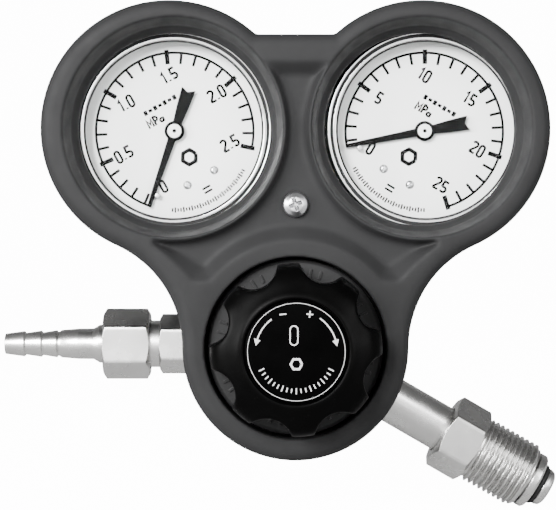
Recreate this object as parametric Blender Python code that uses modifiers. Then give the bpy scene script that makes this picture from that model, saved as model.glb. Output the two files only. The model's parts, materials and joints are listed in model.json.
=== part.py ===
"""Twin-gauge oxygen cylinder regulator with a moulded gauge guard.

Every shape is given in millimetres and built in metres. The assembly frame has X to the right, Y up and Z
towards the viewer, and its depths are counted from the plane of the gauge, inlet and outlet ports. One
empty stands it upright, so that world +Z is up and the knob faces world -Y. The world origin is on the
knob's axis, at the flat end of the rear plug.
"""

import math

import bmesh
import bpy

MM = 0.001

# Layout of the ports round the body, seen from the front. Angles run anticlockwise from the right.
GAUGE_CENTRES = {"left": (-38.5, 68.4), "right": (41.4, 68.4)}
OUTLET_ANGLE = 180.0
INLET_ANGLE = -30.0

# Pressure gauge, nominal 60 mm, with a bottom connection. Depths are from the port plane.
CASE_RADIUS = 31.0
CASE_BACK = -12.0
CASE_FRONT = 13.0
CASE_WALL = 1.0
WINDOW_RADIUS = 28.9
BEZEL_RADIUS = 32.2
BEZEL_FRONT = 16.2
DIAL_BACK = 8.0
DIAL_THICKNESS = 0.5
POINTER_BACK = 9.8
POINTER_REACH = 25.0
POINTER_TAIL = 13.5
SWEEP = 264.0
ZERO_ANGLE = 90.0 + SWEEP / 2

# Gauge movement: a toothed sector drives the pinion that carries the pointer.
TOOTH_MODULE = 0.3
PINION_TEETH = 10
SECTOR_TEETH = 80
SECTOR_PIVOT = (0.0, -(PINION_TEETH + SECTOR_TEETH) * TOOTH_MODULE / 2)
SECTOR_SWING = SWEEP * PINION_TEETH / SECTOR_TEETH
TAIL_LENGTH = 6.0
TIP_PIN = (16.3, -1.2)
TUBE_RADIUS = 20.0
TIP_PIVOT = (5.1, 7.2)

# Body, diaphragm stack and valve, as depths along the knob's axis.
DRUM_RADIUS = 27.0
DRUM_FRONT = 9.3
DRUM_BACK = -13.0
RIM_RADIUS = 24.3
RIM_FRONT = 12.0
PORT_FACE = 33.0
BONNET_RADIUS = 27.4
BONNET_FACE = 24.0
BONNET_NOSE = 40.0
REAR_FACE = -25.0
KNOB_BACK = 30.0
KNOB_FRONT = 53.0
KNOB_RADIUS = 26.3
KNOB_LOBES = 8
TOP_LOBE_ANGLE = 95.0
SCALLOP_RADIUS = 7.7
SCALLOP_DISTANCE = 29.2
LABEL_RADIUS = 15.4
RELIEF_SPOT = (-11.1, -15.9, 0)
BRACKET_SCREWS = {"left": (-5.0, 20.3, 0), "right": (5.0, 20.3, 0)}

# Guard: three lobes, two round the gauges and one round the knob.
HOOD_CENTRE = (39.5, 68.3)
HOOD_RADIUS = 40.0
KNOB_LOBE_RADIUS = 35.3
WAIST_RADIUS = 35.0
BRIDGE_TOP = 97.65
GUARD_FRONT = 29.0
GUARD_BACK = -4.0
GUARD_WALL = 3.0
GUARD_EDGE = 4.0
POCKET_FLOOR = 25.5
POCKET_TOP = 86.8
POCKET_SILL_RADIUS = 36.0
OPENING_CENTRES = ((-38.0, 68.4), (39.2, 68.4))
KNOB_OPENING = 28.2
SCREW_SPOT = (0.0, 44.5)

# Fittings, as distances from the knob's axis along each port.
INLET_TIP = 94.8
INLET_HEX = (55.5, 67.5)
INLET_HEX_FLATS = 22
INLET_THREAD_END = 86.5
THREAD_CREST = 11.0
THREAD_ROOT = 9.85
THREAD_PITCH = 25.4 / 14
OUTLET_HEX = (33.4, 43.6)
HOSE_NUT = (46.8, 61.8)
HOSE_NUT_FLATS = 20
BARB_TIP = 93.9

FINISHES = {
    "guard_grey": ((0.075, 0.075, 0.078), 0.55, 0.0),
    "nickel": ((0.66, 0.65, 0.62), 0.3, 1.0),
    "brass": ((0.62, 0.47, 0.2), 0.35, 1.0),
    "steel": ((0.6, 0.6, 0.62), 0.25, 1.0),
    "black": ((0.012, 0.012, 0.013), 0.3, 0.0),
    "white": ((0.85, 0.85, 0.84), 0.5, 0.0),
    "clear": ((0.9, 0.93, 0.95), 0.05, 0.0),
    "rubber": ((0.03, 0.03, 0.03), 0.8, 0.0),
}


def clear_scene():
    for obj in list(bpy.data.objects):
        bpy.data.objects.remove(obj)


def new_collection(name):
    made = bpy.data.collections.new(name)
    bpy.context.scene.collection.children.link(made)
    return made


def new_material(name):
    colour, roughness, metallic = FINISHES[name]
    made = bpy.data.materials.new(name)
    made.use_nodes = True
    shader = made.node_tree.nodes["Principled BSDF"]
    shader.inputs["Base Color"].default_value = (*colour, 1.0)
    shader.inputs["Roughness"].default_value = roughness
    shader.inputs["Metallic"].default_value = metallic
    return made


clear_scene()
PARTS = new_collection("oxygen_regulator")
CUTTERS = new_collection("cutters")
MATERIALS = {name: new_material(name) for name in FINISHES}


def new_axis(name, parent=None, at=(0, 0, 0), turn=(0, 0, 0)):
    """An empty that parts hang on. Its place is in millimetres and degrees, in its parent's frame."""
    empty = bpy.data.objects.new(name, None)
    PARTS.objects.link(empty)
    return place(empty, parent, at, turn)


def place(obj, parent, at, turn):
    obj.parent = parent
    obj.location = [v * MM for v in at]
    obj.rotation_euler = [math.radians(v) for v in turn]
    return obj


def add_part(name, data, finish, axis, at=(0, 0, 0), turn=(0, 0, 0)):
    """A named part, or with no finish a helper that only cuts or joins."""
    obj = bpy.data.objects.new(name, data)
    place(obj, axis, at, turn)
    if finish is None:
        CUTTERS.objects.link(obj)
        obj.hide_render = True
        obj.display_type = "WIRE"
    else:
        PARTS.objects.link(obj)
        data.materials.append(MATERIALS[finish])
    return obj


def turned(name, profile, finish, axis, at=(0, 0, 0), turn=(0, 0, 0), sides=32, ring=False):
    """A turned part. The profile is (radius, height) pairs that run down the outer side, top to bottom."""
    mesh = bpy.data.meshes.new(name)
    count = len(profile)
    edges = [(i, i + 1) for i in range(count - 1)]
    if ring:
        edges.append((count - 1, 0))
    mesh.from_pydata([(r * MM, 0, h * MM) for r, h in profile], edges, [])
    obj = add_part(name, mesh, finish, axis, at, turn)
    screw = obj.modifiers.new("turn", "SCREW")
    screw.steps = sides
    screw.render_steps = sides
    screw.use_merge_vertices = True
    screw.merge_threshold = 1e-6
    return obj


def prism(name, low, high, radius, finish, axis, at=(0, 0, 0), turn=(0, 0, 0), sides=6):
    """A straight prism or, with many sides, a cylinder, between two heights."""
    mesh = bpy.data.meshes.new(name)
    shape = bmesh.new()
    bmesh.ops.create_cone(
        shape,
        cap_ends=True,
        segments=sides,
        radius1=radius * MM,
        radius2=radius * MM,
        depth=(high - low) * MM,
    )
    bmesh.ops.translate(shape, verts=shape.verts, vec=(0, 0, (high + low) / 2 * MM))
    shape.to_mesh(mesh)
    shape.free()
    return add_part(name, mesh, finish, axis, at, turn)


def block(name, low, high, finish, axis):
    """A box between two corners."""
    mesh = bpy.data.meshes.new(name)
    shape = bmesh.new()
    bmesh.ops.create_cube(shape, size=1.0)
    size = [(b - a) * MM for a, b in zip(low, high)]
    centre = [(b + a) / 2 * MM for a, b in zip(low, high)]
    bmesh.ops.scale(shape, verts=shape.verts, vec=size)
    bmesh.ops.translate(shape, verts=shape.verts, vec=centre)
    shape.to_mesh(mesh)
    shape.free()
    return add_part(name, mesh, finish, axis)


def plate(name, outlines, low, high, finish, axis, at=(0, 0, 0), turn=(0, 0, 0)):
    """A flat outline with any holes, filled and given a thickness, as a mesh."""
    curve = bpy.data.curves.new(name, "CURVE")
    curve.dimensions = "2D"
    curve.fill_mode = "BOTH"
    curve.extrude = (high - low) / 2 * MM
    for outline in outlines:
        spline = curve.splines.new("POLY")
        spline.points.add(len(outline) - 1)
        for point, (x, y) in zip(spline.points, outline):
            point.co = (x * MM, y * MM, 0, 1)
        spline.use_cyclic_u = True
    drawn = bpy.data.objects.new(name + "_drawn", curve)
    CUTTERS.objects.link(drawn)
    bpy.context.view_layer.update()
    mesh = bpy.data.meshes.new_from_object(drawn.evaluated_get(bpy.context.evaluated_depsgraph_get()))
    bpy.data.objects.remove(drawn)
    shape = bmesh.new()
    shape.from_mesh(mesh)
    bmesh.ops.remove_doubles(shape, verts=shape.verts, dist=1e-6)
    bmesh.ops.translate(shape, verts=shape.verts, vec=(0, 0, (high + low) / 2 * MM))
    bmesh.ops.recalc_face_normals(shape, faces=shape.faces)
    shape.to_mesh(mesh)
    shape.free()
    mesh.materials.clear()
    return add_part(name, mesh, finish, axis, at, turn)


def lofted(name, rings, finish, axis, at=(0, 0, 0), turn=(0, 0, 0)):
    """A solid through rings of points, each ring with the same count, closed by a flat cap at both ends."""
    mesh = bpy.data.meshes.new(name)
    shape = bmesh.new()
    rows = [[shape.verts.new([v * MM for v in point]) for point in ring] for ring in rings]
    count = len(rows[0])
    for lower, upper in zip(rows, rows[1:]):
        for i in range(count):
            j = (i + 1) % count
            shape.faces.new((lower[i], lower[j], upper[j], upper[i]))
    shape.faces.new(rows[0])
    shape.faces.new(rows[-1])
    bmesh.ops.recalc_face_normals(shape, faces=shape.faces)
    shape.to_mesh(mesh)
    shape.free()
    return add_part(name, mesh, finish, axis, at, turn)


def wire(name, points, thickness, finish, axis):
    """A round wire along a path, with filled ends."""
    curve = bpy.data.curves.new(name, "CURVE")
    curve.dimensions = "3D"
    curve.bevel_depth = thickness / 2 * MM
    curve.bevel_resolution = 2
    curve.use_fill_caps = True
    spline = curve.splines.new("POLY")
    spline.points.add(len(points) - 1)
    for point, place_mm in zip(spline.points, points):
        point.co = (*[v * MM for v in place_mm], 1)
    return add_part(name, curve, finish, axis)


def threaded_rod(name, crest, root, pitch, low, high, finish, axis, at=(0, 0, 0), turn=(0, 0, 0), sides=24):
    """A rod with a real helical V thread. Its rows climb one pitch a turn and run out flat at both ends."""
    mesh = bpy.data.meshes.new(name)
    shape = bmesh.new()
    made = {}
    rows = 2 * math.ceil((high - low) / pitch) + 4

    def vertex(row, column):
        height = low - pitch + (row / 2 + column / sides) * pitch
        inside = min(height - low, high - height)
        run_out = max(0.0, min(1.0, inside / (0.4 * pitch)))
        radius = root + (crest - root) * run_out * (row % 2 == 0)
        height = max(low, min(high, height))
        angle = 2 * math.pi * column / sides
        key = (column % sides, round(radius, 5), round(height, 5))
        if key not in made:
            spot = (radius * math.cos(angle) * MM, radius * math.sin(angle) * MM, height * MM)
            made[key] = shape.verts.new(spot)
        return made[key]

    for row in range(rows):
        for column in range(sides):
            corners = [
                vertex(row, column),
                vertex(row, column + 1),
                vertex(row + 1, column + 1),
                vertex(row + 1, column),
            ]
            distinct = list(dict.fromkeys(corners))
            if len(distinct) > 2:
                shape.faces.new(distinct)
    bmesh.ops.holes_fill(shape, edges=[e for e in shape.edges if e.is_boundary], sides=0)
    bmesh.ops.recalc_face_normals(shape, faces=shape.faces)
    shape.to_mesh(mesh)
    shape.free()
    return add_part(name, mesh, finish, axis, at, turn)


def combine(obj, other, operation):
    modifier = obj.modifiers.new(operation.lower(), "BOOLEAN")
    modifier.operation = operation
    modifier.object = other
    return obj


def cut(obj, *cutters):
    for cutter in cutters:
        combine(obj, cutter, "DIFFERENCE")
    return obj


def join(obj, *others):
    for other in others:
        combine(obj, other, "UNION")
    return obj


def chamfered_hex(name, low, high, flats, finish, axis, turn=(0, 0, 0), chamfer=0.8, both=True):
    """A hexagon of that size across flats, its corners turned off at one end or both."""
    corner = flats / 2 / math.cos(math.radians(30))
    obj = prism(name, low, high, corner, finish, axis, turn=turn)
    low_radius = flats / 2 if both else corner + 1
    profile = [
        (0, high + 1),
        (flats / 2 - 1, high + 1),
        (flats / 2 - 1, high + 0.01),
        (corner + 1, high - chamfer * 2.2),
        (corner + 1, low + chamfer * 2.2),
        (low_radius - 1, low - 0.01),
        (low_radius - 1, low - 1),
        (0, low - 1),
    ]
    return combine(obj, turned(name + "_chamfer", profile, None, axis, sides=18), "INTERSECT")


def circle(radius, centre=(0, 0), count=16, start=0.0):
    steps = [math.radians(start + 360 * i / count) for i in range(count)]
    return [(centre[0] + radius * math.cos(a), centre[1] + radius * math.sin(a)) for a in steps]


def arc(centre, radius, first, last, step=9.0, count=None):
    """Points from one angle to another, in whichever direction that is."""
    count = count or max(1, math.ceil(abs(last - first) / step))
    angles = [math.radians(first + (last - first) * i / count) for i in range(count + 1)]
    return [(centre[0] + radius * math.cos(a), centre[1] + radius * math.sin(a)) for a in angles]


def helix(radius, low, high, turns, per_turn=12, closed_ends=0.75):
    """A compression spring's path, its first and last turn wound nearly flat."""
    count = round(turns * per_turn)
    points = []
    for i in range(count + 1):
        turn = i / per_turn
        inner = min(max(turn - closed_ends, 0) / (turns - 2 * closed_ends), 1)
        angle = 2 * math.pi * turn
        points.append((radius * math.cos(angle), radius * math.sin(angle), low + (high - low) * inner))
    return points


def tooth_angle(radius, teeth):
    """Half the angle that an involute tooth takes up at this radius, in radians, less a little backlash."""
    pitch_radius = teeth * TOOTH_MODULE / 2
    pressure = math.radians(20)
    base = pitch_radius * math.cos(pressure)
    at = math.acos(min(1.0, base / max(radius, base)))
    involute = (math.tan(pressure) - pressure) - (math.tan(at) - at)
    backlash = 0.035 / pitch_radius
    return math.pi / 2 / teeth - backlash + involute


def tooth(teeth, centre_angle, addendum, dedendum):
    """One tooth's outline, anticlockwise about the gear's centre, as (radius, angle) pairs."""
    pitch_radius = teeth * TOOTH_MODULE / 2
    radii = [
        pitch_radius - dedendum * TOOTH_MODULE,
        pitch_radius + 0.1 * TOOTH_MODULE,
        pitch_radius + addendum * TOOTH_MODULE,
    ]
    rising = [(r, centre_angle - tooth_angle(r, teeth)) for r in radii]
    falling = [(r, centre_angle + tooth_angle(r, teeth)) for r in reversed(radii)]
    return rising + falling


def polar(pairs, centre=(0, 0)):
    return [(centre[0] + r * math.cos(a), centre[1] + r * math.sin(a)) for r, a in pairs]


ASSEMBLY = new_axis("assembly", at=(0, REAR_FACE, 0), turn=(90, 0, 0))
OUTLET = new_axis("outlet_axis", ASSEMBLY, turn=(0, 90, OUTLET_ANGLE))
INLET = new_axis("inlet_axis", ASSEMBLY, turn=(0, 90, INLET_ANGLE))
HEX_FACE_FORWARD = (0, 0, 30)
SLIGHT_TURN = (0, 0, 3.7)


def gauge_direction(side):
    x, y = GAUGE_CENTRES[side]
    return math.degrees(math.atan2(y, x)), math.hypot(x, y)


def build_body():
    """Forged body: a drum with a threaded front rim, four port bosses, and drilled gas ways."""
    profile = [
        (RIM_RADIUS, RIM_FRONT),
        (RIM_RADIUS, DRUM_FRONT),
        (DRUM_RADIUS, DRUM_FRONT),
        (DRUM_RADIUS, DRUM_BACK + 1),
        (DRUM_RADIUS - 1, DRUM_BACK),
        (11.5, DRUM_BACK),
        (11.5, DRUM_BACK - 5),
        (7.5, DRUM_BACK - 5),
        (7.5, 2),
        (3, 2),
        (3, 8),
        (19.5, 8),
        (19.5, RIM_FRONT),
    ]
    body = turned("regulator_body", profile, "brass", ASSEMBLY, sides=24, ring=True)
    ports = [(gauge_direction(side)[0], 9.0, 6.9) for side in GAUGE_CENTRES]
    ports += [(OUTLET_ANGLE, 9.0, 6.6), (INLET_ANGLE, 9.2, 7.6)]
    for number, (angle, boss, _) in enumerate(ports):
        turn = (0, 90, angle)
        shape = prism(f"port_boss_{number}", 20, PORT_FACE, boss, None, ASSEMBLY, turn=turn, sides=16)
        join(body, shape)
    for number, (angle, _, bore) in enumerate(ports):
        turn = (0, 90, angle)
        end = PORT_FACE + 5
        cut(body, prism(f"port_bore_{number}", 22, end, bore, None, ASSEMBLY, turn=turn, sides=12))
    reach_high_pressure = {ports[1][0]: 5.0, INLET_ANGLE: 5.0}
    for number, (angle, _, _) in enumerate(ports):
        inner = reach_high_pressure.get(angle, 15.0)
        cut(body, prism(f"port_way_{number}", inner, 24, 2.0, None, ASSEMBLY, turn=(0, 90, angle), sides=8))
    for number, angle in enumerate((ports[0][0], OUTLET_ANGLE)):
        spot = (17 * math.cos(math.radians(angle)), 17 * math.sin(math.radians(angle)), 0)
        cut(body, prism(f"chamber_way_{number}", 0.0, 10, 1.8, None, ASSEMBLY, at=spot, sides=8))
    cut(body, prism("relief_bore", DRUM_BACK - 2, -5, 5.0, None, ASSEMBLY, at=RELIEF_SPOT, sides=16))
    cut(body, prism("relief_way", -7, 10, 1.6, None, ASSEMBLY, at=RELIEF_SPOT, sides=8))
    deep = DRUM_BACK - 1
    for side, spot in BRACKET_SCREWS.items():
        cut(body, prism(f"bracket_bore_{side}", deep, -8.5, 2.1, None, ASSEMBLY, at=spot, sides=12))


def build_pressure_side():
    """Diaphragm, range spring and bonnet in front of the body, and the valve inside it."""
    turned(
        "bonnet",
        [
            (5.25, BONNET_NOSE),
            (14.7, BONNET_NOSE),
            (15.5, BONNET_NOSE - 0.8),
            (15.5, BONNET_FACE + 1.2),
            (16.7, BONNET_FACE),
            (26.6, BONNET_FACE),
            (BONNET_RADIUS, BONNET_FACE - 0.8),
            (BONNET_RADIUS, DRUM_FRONT + 0.3),
            (24.7, DRUM_FRONT + 0.3),
            (24.7, 14.2),
            (20.5, 14.2),
            (20.5, 18),
            (12.5, 20),
            (12.5, 34.8),
            (5.25, 34.8),
        ],
        "guard_grey",
        ASSEMBLY,
        sides=24,
        ring=True,
    )
    turned("diaphragm", [(0, 13.1), (24, 13.1), (24, 12.3), (0, 12.3)], "rubber", ASSEMBLY, sides=24)
    ring_profile = [(20.6, 13.9), (24.2, 13.9), (24.2, 13.3), (20.6, 13.3)]
    turned("slip_ring", ring_profile, "brass", ASSEMBLY, sides=24, ring=True)

    valve_axis = new_axis("valve_axis", ASSEMBLY)
    plate_profile = [(0, 17.2), (7.0, 17.2), (7.0, 15.2), (14.0, 15.2), (14.0, 13.4), (0, 13.4)]
    turned("diaphragm_plate", plate_profile, "brass", valve_axis, sides=20)
    pin_profile = [(0, 12.0), (6.0, 12.0), (6.0, 10.8), (1.3, 10.8), (1.3, -4.0), (0, -4.0)]
    turned("push_pin", pin_profile, "steel", valve_axis, sides=12)
    poppet_profile = [(0, -4.3), (5.5, -4.3), (5.5, -8.3), (2.0, -8.3), (2.0, -13.0), (0, -13.0)]
    turned("valve_poppet", poppet_profile, "brass", valve_axis, sides=14)

    nozzle_profile = [(2.2, 1.7), (7.2, 1.7), (7.2, 0.5), (4.4, 0.5), (3.6, -4.0), (2.2, -4.0)]
    turned("seat_nozzle", nozzle_profile, "brass", ASSEMBLY, sides=16, ring=True)
    wire("poppet_spring", helix(3.6, -13.0, -8.9, 3, per_turn=8, closed_ends=0.5), 0.7, "steel", ASSEMBLY)
    retainer_profile = [
        (0, -17.0),
        (2.4, -17.0),
        (2.4, -13.6),
        (7.2, -13.6),
        (7.2, -18.3),
        (9.2, -18.3),
        (9.2, -19.6),
        (0, -19.6),
    ]
    retainer = turned("seat_retainer", retainer_profile, "nickel", ASSEMBLY, sides=16)
    join(retainer, chamfered_hex("retainer_hex", REAR_FACE, -19.0, 17, None, ASSEMBLY))

    knob_axis = new_axis("knob_axis", ASSEMBLY)
    button_profile = [(1.2, 33.4), (7.0, 33.4), (11.0, 32.0), (11.0, 30.6)]
    button_profile += [(5.0, 30.6), (5.0, 28.8), (1.2, 28.8)]
    turned("spring_button", button_profile, "steel", knob_axis, sides=18, ring=True)
    ball = bpy.data.meshes.new("thrust_ball")
    shape = bmesh.new()
    bmesh.ops.create_uvsphere(shape, u_segments=10, v_segments=6, radius=1.6 * MM)
    shape.to_mesh(ball)
    shape.free()
    add_part("thrust_ball", ball, "steel", knob_axis, at=(0, 0, 34.5))
    wire("range_spring", helix(9.3, 16.4, 29.4, 4, per_turn=10), 2.0, "steel", ASSEMBLY)
    return knob_axis


def scallop_depth(offset):
    """How far a round scallop cuts in from the lobes' tips, at this angle from the scallop's middle."""
    reach = SCALLOP_DISTANCE * math.sin(math.radians(offset))
    if abs(reach) >= SCALLOP_RADIUS:
        return 0.0
    wall = SCALLOP_DISTANCE * math.cos(math.radians(offset)) - math.sqrt(SCALLOP_RADIUS**2 - reach**2)
    return max(0.0, KNOB_RADIUS - wall)


def knob_section(height, radius, share):
    """A ring of knob outline: blunt lobes with round scallops between, cut to a share of full depth."""
    half = 180 / KNOB_LOBES
    ring = []
    for lobe in range(KNOB_LOBES):
        for offset in (-half, -16.5, -14.5, -12.0, -8.0, -4.0, 0.0, 4.0, 8.0, 12.0, 14.5, 16.5):
            angle = math.radians(TOP_LOBE_ANGLE + half * (2 * lobe + 1) + offset)
            r = radius - share * scallop_depth(offset)
            ring.append((r * math.cos(angle), r * math.sin(angle), height))
    return ring


def build_knob(knob_axis):
    """Lobed hand knob on the adjusting screw, with its front disc and the screw below that."""
    sections = [
        (KNOB_BACK, KNOB_RADIUS - 0.9, 0.9),
        (KNOB_BACK + 1, KNOB_RADIUS, 1.0),
        (45.0, KNOB_RADIUS, 1.0),
        (48.5, KNOB_RADIUS - 1.6, 0.8),
        (51.2, 20.8, 0.25),
        (KNOB_FRONT - 0.6, 17.2, 0.0),
        (KNOB_FRONT, 16.6, 0.0),
    ]
    knob = lofted("knob", [knob_section(*s) for s in sections], "black", knob_axis)
    hollow = [(0, 44.2), (15, 44.2), (20, 42), (20, 20), (0, 20)]
    cut(knob, turned("knob_hollow", hollow, None, knob_axis, sides=20))
    cut(knob, prism("knob_bore", 20, 48.9, 5.3, None, knob_axis, sides=20))
    cut(knob, prism("knob_screw_way", 40, 60, 2.4, None, knob_axis, sides=16))
    cut(knob, prism("knob_disc_seat", KNOB_FRONT - 2.6, 60, LABEL_RADIUS + 0.3, None, knob_axis, sides=30))
    label = [(0, KNOB_FRONT + 0.2), (LABEL_RADIUS - 0.3, KNOB_FRONT + 0.2)]
    label += [(LABEL_RADIUS, KNOB_FRONT - 0.1), (LABEL_RADIUS, KNOB_FRONT - 0.5), (0, KNOB_FRONT - 0.5)]
    turned("knob_disc", label, "black", knob_axis, sides=30)
    head = KNOB_FRONT - 0.8
    screw_profile = [(0, head), (3.4, head), (3.8, head - 0.6), (3.8, head - 1.5)]
    screw_profile += [(2.0, head - 1.5), (2.0, 43), (0, 43)]
    turned("knob_screw", screw_profile, "steel", knob_axis, sides=16)
    screw = threaded_rod("adjusting_screw", 5.0, 4.3, 1.25, 36.3, 48.7, "steel", knob_axis, sides=10)
    cut(screw, prism("adjusting_screw_bore", 42, 60, 2.3, None, knob_axis, sides=16))


def build_inlet():
    """Inlet nipple with its swivelling gland nut, the seal ring at its nose and the filter in its bore."""
    profile = [
        (2.5, INLET_TIP),
        (4.8, INLET_TIP),
        (5.9, INLET_TIP - 0.7),
        (6.3, INLET_TIP - 1.9),
        (6.3, INLET_TIP - 2.8),
        (4.9, INLET_TIP - 2.8),
        (4.9, INLET_TIP - 4.8),
        (8.6, INLET_TIP - 4.8),
        (9.3, INLET_TIP - 5.5),
        (9.3, INLET_TIP - 7.6),
        (7.5, INLET_TIP - 7.6),
        (7.5, PORT_FACE + 1.2),
        (9.0, PORT_FACE + 0.9),
        (9.0, PORT_FACE + 0.3),
        (7.2, PORT_FACE + 0.3),
        (7.2, 24),
        (4.4, 24),
        (4.4, 36),
        (2.5, 36),
    ]
    turned("inlet_nipple", profile, "nickel", INLET, sides=18, ring=True)
    seal = [(5.1, INLET_TIP - 3.0), (6.6, INLET_TIP - 3.0), (7.0, INLET_TIP - 3.8)]
    seal += [(6.6, INLET_TIP - 4.6), (5.1, INLET_TIP - 4.6)]
    turned("nipple_seal", seal, "rubber", INLET, sides=16, ring=True)
    sleeve = [(1.6, 35.5), (4.1, 35.5), (4.1, 26), (1.6, 26)]
    turned("inlet_filter", sleeve, "brass", INLET, sides=12, ring=True)
    thread_start = INLET_HEX[1] - 2.0
    nut = threaded_rod(
        "inlet_nut",
        THREAD_CREST,
        THREAD_ROOT,
        THREAD_PITCH,
        thread_start,
        INLET_THREAD_END,
        "nickel",
        INLET,
        sides=14,
    )
    flats = INLET_HEX_FLATS
    join(nut, chamfered_hex("inlet_nut_hex", *INLET_HEX, flats, None, INLET, HEX_FACE_FORWARD, 1.0))
    cut(nut, prism("inlet_nut_bore", 50, 90, 7.9, None, INLET, sides=20))


def build_outlet():
    """Outlet connector, hose nut and the barbed tail that the hose pushes onto."""
    profile = [
        (6.9, 55.9),
        (7.6, 55.2),
        (7.6, OUTLET_HEX[1] - 1),
        (7.6, OUTLET_HEX[0] + 1),
        (6.2, OUTLET_HEX[0] + 1),
        (6.2, 23),
        (2.6, 23),
        (2.6, 55.9),
    ]
    connector = turned("outlet_connector", profile, "nickel", OUTLET, sides=16, ring=True)
    hexagon = chamfered_hex("connector_hex", *OUTLET_HEX, 17, None, OUTLET, turn=HEX_FACE_FORWARD)
    cut(hexagon, prism("connector_hex_bore", 30, 50, 5.0, None, OUTLET, sides=16))
    join(connector, hexagon)

    flats = HOSE_NUT_FLATS
    nut = chamfered_hex("hose_nut", *HOSE_NUT, flats, "nickel", OUTLET, HEX_FACE_FORWARD, 0.9)
    nut_bore = [(0, 70), (6.6, 70), (6.6, 57.9), (8.0, 57.9), (8.0, 40), (0, 40)]
    cut(nut, turned("hose_nut_bore", nut_bore, None, OUTLET, sides=18))

    barb = [(2.2, BARB_TIP), (3.3, BARB_TIP)]
    for foot, ridge in ((87.1, 4.15), (81.6, 4.3), (76.6, 4.45)):
        barb += [(ridge, foot + 0.5), (ridge - 0.6, foot)]
    barb += [(4.5, 75.5), (4.95, 70), (5.0, 65.2), (6.2, 63.2), (6.2, 57.6), (7.5, 57.6)]
    barb += [(7.5, 56.3), (2.2, 56.3)]
    turned("hose_barb", barb, "nickel", OUTLET, sides=16, ring=True)


def build_relief_valve():
    """Spring-loaded relief valve screwed into the back of the low-pressure chamber."""
    axis = new_axis("relief_axis", ASSEMBLY, at=RELIEF_SPOT)
    body = [(1.5, -6.5), (4.7, -6.5), (4.7, -13.3), (6.0, -13.3), (6.0, -27), (4.0, -27)]
    body += [(4.0, -11), (1.5, -11)]
    shell = turned("relief_valve_body", body, "nickel", axis, sides=12, ring=True)
    hexagon = chamfered_hex("relief_hex", -19, -13.4, 12, None, axis)
    cut(hexagon, prism("relief_hex_bore", -30, 0, 5.0, None, axis, sides=16))
    join(shell, hexagon)
    poppet = [(0, -11.3), (3.2, -11.3), (3.2, -13.5), (1.4, -13.5), (1.4, -17), (0, -17)]
    turned("relief_poppet", poppet, "steel", axis, sides=12)
    wire("relief_spring", helix(2.6, -24.4, -14.2, 4, per_turn=8, closed_ends=0.5), 0.7, "steel", axis)
    cap = [(0.9, -25.1), (3.7, -25.1), (3.7, -27.3), (6.0, -27.3), (6.0, -29.4), (5.2, -30.2), (0.9, -30.2)]
    turned("relief_cap", cap, "nickel", axis, sides=12, ring=True)


def guard_outline(inset=0.0):
    """The guard's three-lobed outline, clockwise from the bridge, moved inwards by the inset."""
    hood, lobe = HOOD_RADIUS - inset, KNOB_LOBE_RADIUS - inset
    waist = WAIST_RADIUS + inset
    x, y = HOOD_CENTRE
    top = BRIDGE_TOP - inset
    corner = math.degrees(math.asin((top - y) / hood))
    distance = math.hypot(x, y)
    towards_hood = math.degrees(math.atan2(y, x))
    to_hood, to_lobe = HOOD_RADIUS + WAIST_RADIUS, KNOB_LOBE_RADIUS + WAIST_RADIUS
    spread = math.acos((to_lobe**2 + distance**2 - to_hood**2) / (2 * to_lobe * distance))
    waist_angle = towards_hood - math.degrees(spread)
    waist_turn = math.radians(waist_angle)
    waist_centre = (to_lobe * math.cos(waist_turn), to_lobe * math.sin(waist_turn))
    hood_end = math.degrees(math.atan2(waist_centre[1] - y, waist_centre[0] - x))
    right = arc((x, y), hood, 180 - corner, hood_end, count=20)
    right += arc(waist_centre, waist, hood_end + 180, waist_angle + 180, count=5)[1:]
    right += arc((0, 0), lobe, waist_angle, -90, count=8)[1:]
    left = [(-px, py) for px, py in reversed(right[:-1])]
    return right + left


def pocket_outline(grow=0.0):
    """The sunk panel between the three openings. Its ends run into the gauge openings."""
    sill = POCKET_SILL_RADIUS - grow
    sill_angle = 38.8 - grow
    x, y = HOOD_CENTRE
    right = [(12.5, POCKET_TOP + grow), (x - 3.7, y - 1.9), (x + 0.5, 32.6 - grow)]
    right += arc((0, 0), sill, sill_angle, 90, 8.0)
    return right + [(-px, py) for px, py in reversed(right[:-1])]


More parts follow.
